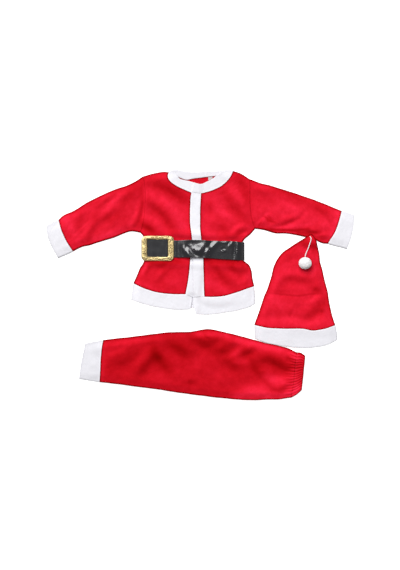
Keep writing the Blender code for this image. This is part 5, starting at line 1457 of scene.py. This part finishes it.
# The trim on top: name; edges above, below, at the left and at the right; height; what it lies on; spacing.
jacket_trim = (
    ("placket_under",
     (straight(FRONT_EDGE_LEFT[0], PLACKET_UNDER_EDGE[0]),
      straight(FRONT_EDGE_LEFT[-1], PLACKET_UNDER_EDGE[-1]), FRONT_EDGE_LEFT, PLACKET_UNDER),
     jacket_front_mid, ["jacket_back"], 1.8),
    ("placket_over",
     (straight(PLACKET_OVER_EDGE[0], FRONT_EDGE_RIGHT[0]),
      straight(PLACKET_OVER_EDGE[-1], FRONT_EDGE_RIGHT[-1]), PLACKET_OVER_EDGE, FRONT_EDGE_RIGHT),
     jacket_over_mid, ["placket_under"], TRIM_GRID),
    ("hem_front_left",
     (joined((HEM_SEAM_LEFT, straight(HEM_SEAM_LEFT[-1], HEM_OPEN_LEFT[0])), HEM_TO_OPENING), HEM_END_LEFT,
      straight(HEM_SEAM_LEFT[0], HEM_END_LEFT[0]), HEM_OPEN_LEFT),
     jacket_front_mid, ["hem_back"], TRIM_GRID),
    ("hem_front_right",
     (joined((straight(HEM_OPEN_RIGHT[0], HEM_SEAM_RIGHT[0]), HEM_SEAM_RIGHT), OPENING_TO_HEM),
      HEM_END_RIGHT, HEM_OPEN_RIGHT, straight(HEM_SEAM_RIGHT[-1], HEM_END_RIGHT[-1])),
     jacket_over_mid, ["hem_back"], TRIM_GRID),
    ("collar_front_left",
     (SHOULDER_END_LEFT, straight(LAP_END_UNDER, COLLAR_INNER_LEFT[-1]),
      joined((NECK_LEFT, straight(NECK_LEFT[-1], LAP_END_UNDER)), NECK_TO_LAP), COLLAR_INNER_LEFT),
     jacket_front_mid, ["jacket_back", "collar_back"], TRIM_GRID),
    ("collar_front_right",
     (SHOULDER_END_RIGHT, straight(COLLAR_INNER_RIGHT[-1], LAP_END_OVER), COLLAR_INNER_RIGHT,
      joined((NECK_RIGHT, straight(NECK_RIGHT[-1], LAP_END_OVER)), NECK_TO_LAP)),
     jacket_over_mid, ["jacket_back", "collar_back", "collar_front_left"], TRIM_GRID),
)
for name, edges, height, lies_on, step in jacket_trim:
    panel(name, Patch(*edges), height, PLUSH, WHITE, step=step, pile=PILE)

hem = Patch(HEM_SEAM_BACK, HEM_END_BACK, straight(HEM_SEAM_BACK[0], HEM_END_BACK[0]),
            straight(HEM_SEAM_BACK[-1], HEM_END_BACK[-1]))
panel("hem_back", hem, jacket_back_mid, TRIM, WHITE, step=3.0, pile=0.06)
collar = Patch(COLLAR_TOP, BACK_NECK, straight(*COLLAR_BACK_LEFT), straight(*COLLAR_BACK_RIGHT))
panel("collar_back", collar, jacket_back_mid, TRIM, WHITE, step=TRIM_GRID, pile=0.08)

upper_left, upper_right, lower_left, lower_right = TAG_CORNERS
tag = Patch(straight(upper_left, upper_right), straight(lower_left, lower_right),
            straight(upper_left, lower_left), straight(upper_right, lower_right))
panel("neck_tag", tag, tag_mid, TAPE, TAG, step=1.0)


# ---------------------------------------------------------------- the belt
def belt_face(x):
    """Middle of the front stretch's wall: over the fronts, and higher over the two laps of trim."""
    rise_from, up_at, fall_from, down_at = BELT_OVER_PLACKETS
    over = smoothstep((x - rise_from) / (up_at - rise_from))
    over = over * (1.0 - smoothstep((x - fall_from) / (down_at - fall_from)))
    low = LAYER + CLOTH + BELT_THICK + 2.0 * BELT_CLEAR + BELT_THICK / 2
    return low + (2.0 * PLUSH - CLOTH + LAP_AIR + OVER_TRIM_CLEAR) * over


def hole_lips(x, y):
    """The rims that the punch raised round the belt's holes: exp(-s * s) across a ring."""
    radius, width, height = BELT_HOLE_LIP
    return sum(height * np.exp(-(((np.hypot(x - hole, y - belt_middle(hole)) - radius) / width) ** 2))
               for hole in BELT_HOLES_X)


def strap(name, face, foot, turn, falls, step):
    """A stretch of the belt: across its face between two round corners, down or up to its feet.

    The corners are quarter circles of radius turn, below 0 where the feet are above the face. This profile in
    x and z is carried from the belt's upper edge to its lower one. A stretch with falls stands off by
    BELT_LOOSE and its creases, but not at the buckle and at the right turn.
    """
    left, right = BELT_LEFT + BELT_THICK / 2, BELT_RIGHT - BELT_THICK / 2
    x = np.linspace(left + abs(turn), right - abs(turn), int((right - left) / step))
    angle = np.linspace(math.pi, math.pi / 2, 8)[:-1]
    corner_x, corner_z = abs(turn) * np.cos(angle), turn * (np.sin(angle) - 1.0)
    rows = np.concatenate((
        ((left, foot),),
        np.column_stack((x[0] + corner_x, face(x[0]) + corner_z)),
        np.column_stack((x, face(x))),
        np.column_stack((x[-1] - corner_x, face(x[-1]) + corner_z))[::-1],
        ((right, foot),)))
    share = grid_lines(BELT_TOP[0][1] - BELT_BOTTOM[0][1], step)[:, None]
    upper, lower = (np.interp(rows[:, 0], *edge(line)[:, 1:].T) for line in (BELT_TOP, BELT_BOTTOM))
    px = np.broadcast_to(rows[:, 0], (len(share), len(rows)))
    py = upper + (lower - upper) * share
    lifted = 0.0
    if falls:
        creased, _ = folded(px, py, falls)
        past_buckle = smoothstep((px - BUCKLE_CENTRE[0] - BUCKLE_HALF[0]) / LOOSE_PAST_BUCKLE)
        none, run = LOOSE_BEFORE_TURN
        before_turn = smoothstep((right - none - px) / run)
        lifted = floor_soft(BELT_LOOSE + creased + hole_lips(px, py)) * past_buckle * before_turn
        lifted = lifted + ripples(px, py, *RIPPLES["strap"])
    mid = np.stack((px, py, np.broadcast_to(rows[:, 1], px.shape) + lifted), axis=-1)
    rounding = end_rounding(np.minimum(share, 1.0 - share) * (upper - lower), BELT_LIP)
    rounding[:, [0, -1]] = 0.0
    made = walled(name, mid, BELT_THICK, rounding, STRAP, mid * MM, 0.0 * px)
    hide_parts(name)
    return made


def pierce(made):
    """The tongue's holes, sunk into the face along the belt's middle line: round, but not right through."""
    points = np.empty(3 * len(made.data.vertices), np.float32)
    made.data.vertices.foreach_get("co", points)
    points = points.reshape(-1, 3) / MM
    angle = np.linspace(0.0, 2.0 * math.pi, 28, endpoint=False)
    holes = []
    for x in BELT_HOLES_X:
        y = belt_middle(x)
        around = BELT_HOLE_RADIUS * np.column_stack((np.cos(angle), -np.sin(angle)))
        ring = np.array((x, y)) + around
        near = np.hypot(points[:, 0] - x, points[:, 1] - y) < 1.5
        bottom = points[near, 2].max() - BELT_HOLE_DEPTH
        rings = [np.column_stack((ring, np.full(len(ring), z))) for z in (bottom, HOLE_CUT_TOP)]
        holes.append(turned_grid(np.stack(rings)))
    cutter = mesh_piece("belt_hole_cutter", *merged(holes), STRAP)
    cut = made.modifiers.new("holes", "BOOLEAN")
    cut.operation = "DIFFERENCE"
    cut.solver = "EXACT"
    cut.object = cutter
    bpy.context.view_layer.update()
    evaluated = made.evaluated_get(bpy.context.evaluated_depsgraph_get())
    finished = bpy.data.meshes.new_from_object(evaluated)
    made.modifiers.clear()
    before, made.data = made.data, finished
    bpy.data.meshes.remove(before)
    bpy.data.objects.remove(cutter, do_unlink=True)


pierce(strap("belt_front", belt_face, BELT_FRONT_FOOT, BELT_TURN, BELT_FALLS, 1.1))
strap("belt_back", lambda x: np.full(np.shape(x), BELT_THICK / 2), BELT_BACK_FOOT, -BELT_TURN, (), 3.0)


def frame_loop(centre, half, radius, nubs=False):
    """A rounded rectangle, anticlockwise from its right side, with a small point inwards on three sides."""
    corners = ((1, 1, 0), (-1, 1, 90), (-1, -1, 180), (1, -1, 270))
    points = []
    for number, (sx, sy, start) in enumerate(corners):
        normal = np.array((math.cos(math.pi / 2 * number), math.sin(math.pi / 2 * number)))
        reach, along_side = (half[0], half[1] - radius) if number % 2 == 0 else (half[1], half[0] - radius)
        offset = np.linspace(-along_side, along_side, SIDE_POINTS)[:-1, None]
        inward = NUB_REACH * np.exp(-((offset / NUB_HALF) ** 2)) * (nubs and number > 0)
        points.append(normal * (reach - inward) + np.array((-normal[1], normal[0])) * offset)
        angle = np.radians(np.linspace(start, start + 90, CORNER_POINTS))[:-1]
        arc = np.column_stack((np.cos(angle), np.sin(angle))) * radius
        points.append(arc + np.array((sx * (half[0] - radius), sy * (half[1] - radius))))
    return np.concatenate(points) + np.array(centre)


def make_buckle():
    """A cast frame whose face is domed and engraved: two smooth rims, and uneven crossed cuts between them.

    Height over the share s from the outer to the inner edge: (1 - |2 s - 1| ** 3) ** 0.45, less CUT_DEPTH
    times the cuts. Two families of wavy slanting lines, 1 - |sin|, make the cuts. The painted shade is how
    sunk a place is: it is high in the cuts and down the two walls.
    """
    outer = frame_loop(BUCKLE_CENTRE, BUCKLE_HALF, BUCKLE_RADIUS)
    inner = frame_loop(WINDOW_CENTRE, WINDOW_HALF, WINDOW_RADIUS, nubs=True)
    share = 0.5 - 0.5 * np.cos(np.linspace(0.0, math.pi, FACE_POINTS))
    face = outer + (inner - outer) * share[:, None, None]
    dome = np.clip(1.0 - np.abs(2.0 * share - 1.0) ** 3.0, 0.0, 1.0) ** 0.45
    x, y = face[..., 0], face[..., 1]
    bend = ripples(x, y, *RIPPLES["buckle lines"])
    first, second = (1.0 - np.abs(np.sin(math.pi * ((across * x + up * y) / pitch + bent * bend)))
                     for across, up, pitch, bent in CUT_LINES)
    start, stop, ramp = CUT_BETWEEN
    between = (smoothstep((share - start) / ramp) * smoothstep((stop - share) / ramp))[:, None]
    uneven = np.clip(0.7 + ripples(x, y, *RIPPLES["buckle depth"]), 0.0, 1.0)
    cuts = np.maximum(first, second) ** 1.1 * between * uneven
    low = belt_face(BUCKLE_CENTRE[0]) + BELT_THICK / 2 + BUCKLE_CLEAR
    top = low + DOME_HEIGHT * dome[:, None] - CUT_DEPTH * cuts
    # Painted shade down the two walls and in the cuts.
    walls = np.maximum(np.exp(-((share / 0.07) ** 2)), np.exp(-(((1.0 - share) / 0.045) ** 2)))[:, None]
    painted_hollow_shade = 0.12 * between + 0.95 * cuts + 0.9 * walls
    under = np.stack([np.column_stack((outer + (inner - outer) * s, np.full(len(outer), low)))
                      for s in BUCKLE_UNDERSIDE])
    rows = np.concatenate((np.concatenate((face, top[..., None]), axis=-1)[::-1], under))
    painted_hollow_shade = np.concatenate((np.broadcast_to(painted_hollow_shade, x.shape)[::-1], np.full(under.shape[:2], 0.5)))
    index = np.arange(rows[..., 0].size).reshape(rows.shape[:2])
    index = np.concatenate((index, index[:1]))
    made = mesh_piece("belt_buckle", rows.reshape(-1, 3), quads_of(index, wrap=True), GOLD,
                      {"shade": painted_hollow_shade.ravel()})
    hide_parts("belt_buckle")


make_buckle()

# ---------------------------------------------------------------- the hat and the trousers
cone = Patch(HAT_TIP, HAT_SEAM, HAT_LEFT, HAT_RIGHT)
tube("hat_cone", cone, hat_upper_mid, hat_under_mid, CLOTH, RED, closed=True)
band = Patch(HAT_SEAM, HAT_BRIM, HAT_BRIM_LEFT, HAT_BRIM_RIGHT)
tube("hat_band", band, hat_upper_mid, hat_under_mid, PLUSH, WHITE, step=TRIM_GRID, pile=PILE)

leg = Patch(LEG_TOP, LEG_FOLD, LEG_CUFF_SEAM, CASING_SEAM)
cuff = Patch(straight(LEG_CUFF_END[0], LEG_CUFF_SEAM[0]), straight(LEG_CUFF_END[-1], LEG_CUFF_SEAM[-1]),
             LEG_CUFF_END, LEG_CUFF_SEAM)
casing = Patch(CASING_TOP, CASING_FOLD, CASING_SEAM, WAIST_END)
# Stretch; patch; wall on top; finish; spacing of the hidden layers and of the top one, across and down; pile.
trousers = (
    ("trouser_leg", leg, CLOTH, RED, 4.0, GRID, 1.3, 0.0),
    ("leg_cuff", cuff, PLUSH, WHITE, 2.5, TRIM_GRID, TRIM_GRID, PILE),
    ("waist_casing", casing, CLOTH, RED, 2.5, 1.2, 1.2, 0.0),
)
for name, patch, wall, finish, hidden, across, down, pile in trousers:
    block(f"{name}_under", patch, LEG_LAYERS, finish, hidden)
    panel(f"{name}_upper", patch, leg_upper_mid, wall, finish,
          step=across, down=down, pile=pile)


# ---------------------------------------------------------------- stitches
def stitches(name, rows, height, wall, finish):
    """A row of short threads along a line on a piece's top face, their ends pulled into the cloth."""
    line = edge(rows)
    length = np.linalg.norm(np.diff(line[:, 1:], axis=0), axis=1).sum()
    first = np.arange(STITCH_PITCH, length - STITCH_PITCH, STITCH_PITCH)
    ends = []
    for run in (first, first + STITCH_LENGTH):
        flat = waver(along(line, run / length))
        mid, _ = height(flat[:, 0], flat[:, 1], wall)
        ends.append(np.column_stack((flat, mid + wall / 2 - STITCH_SUNK)))
    mesh_piece(name, *rods(*ends, STITCH_RADII, sides=6, arch=STITCH_ARCH), finish)


stitches("leg_cuff_stitches", CUFF_STITCH_LINE, leg_upper_mid, PLUSH, WHITE_THREAD)
stitches("waist_casing_stitches", [(x + CASING_STITCH_AT, y) for x, y in CASING_SEAM], leg_upper_mid, CLOTH,
         RED_THREAD)

# ---------------------------------------------------------------- light and floor
FLOOR_HALF = 30.0       # metres
FLOOR_AT = -0.0006
SUN_ENERGY = 2.95
SUN_WIDTH = math.radians(42.0)
SUN_LEAN = math.radians(-36.0)
SUN_TURN = math.radians(25.0)

floor_data = bpy.data.meshes.new("floor")
corners = ((-1, -1), (1, -1), (1, 1), (-1, 1))
floor_data.from_pydata([(x * FLOOR_HALF, y * FLOOR_HALF, FLOOR_AT) for x, y in corners], [], [(0, 1, 2, 3)])
floor = bpy.data.objects.new("floor", floor_data)
bpy.context.scene.collection.objects.link(floor)
paper, tree, shader = new_material("white_paper", Base_Color=(0.95, 0.95, 0.95, 1.0), Roughness=1.0,
                                   Emission_Color=(1.0, 1.0, 1.0, 1.0))
seen = add_node(tree, "ShaderNodeLightPath").outputs["Is Camera Ray"]
tree.links.new(maths(tree, "MULTIPLY", seen, 0.85), shader.inputs["Emission Strength"])
floor_data.materials.append(paper)

sun = bpy.data.objects.new("key_light", bpy.data.lights.new("key_light", "SUN"))
sun.data.energy = SUN_ENERGY
sun.data.angle = SUN_WIDTH
sun.rotation_euler = (SUN_LEAN, 0.0, SUN_TURN)
bpy.context.scene.collection.objects.link(sun)

world = bpy.data.worlds.new("world")
bpy.context.scene.world = world
world.use_nodes = True
sky = world.node_tree.nodes["Background"].inputs
sky["Color"].default_value = (1.0, 1.0, 1.0, 1.0)
sky["Strength"].default_value = 0.30
bpy.context.scene.view_settings.view_transform = "Standard"
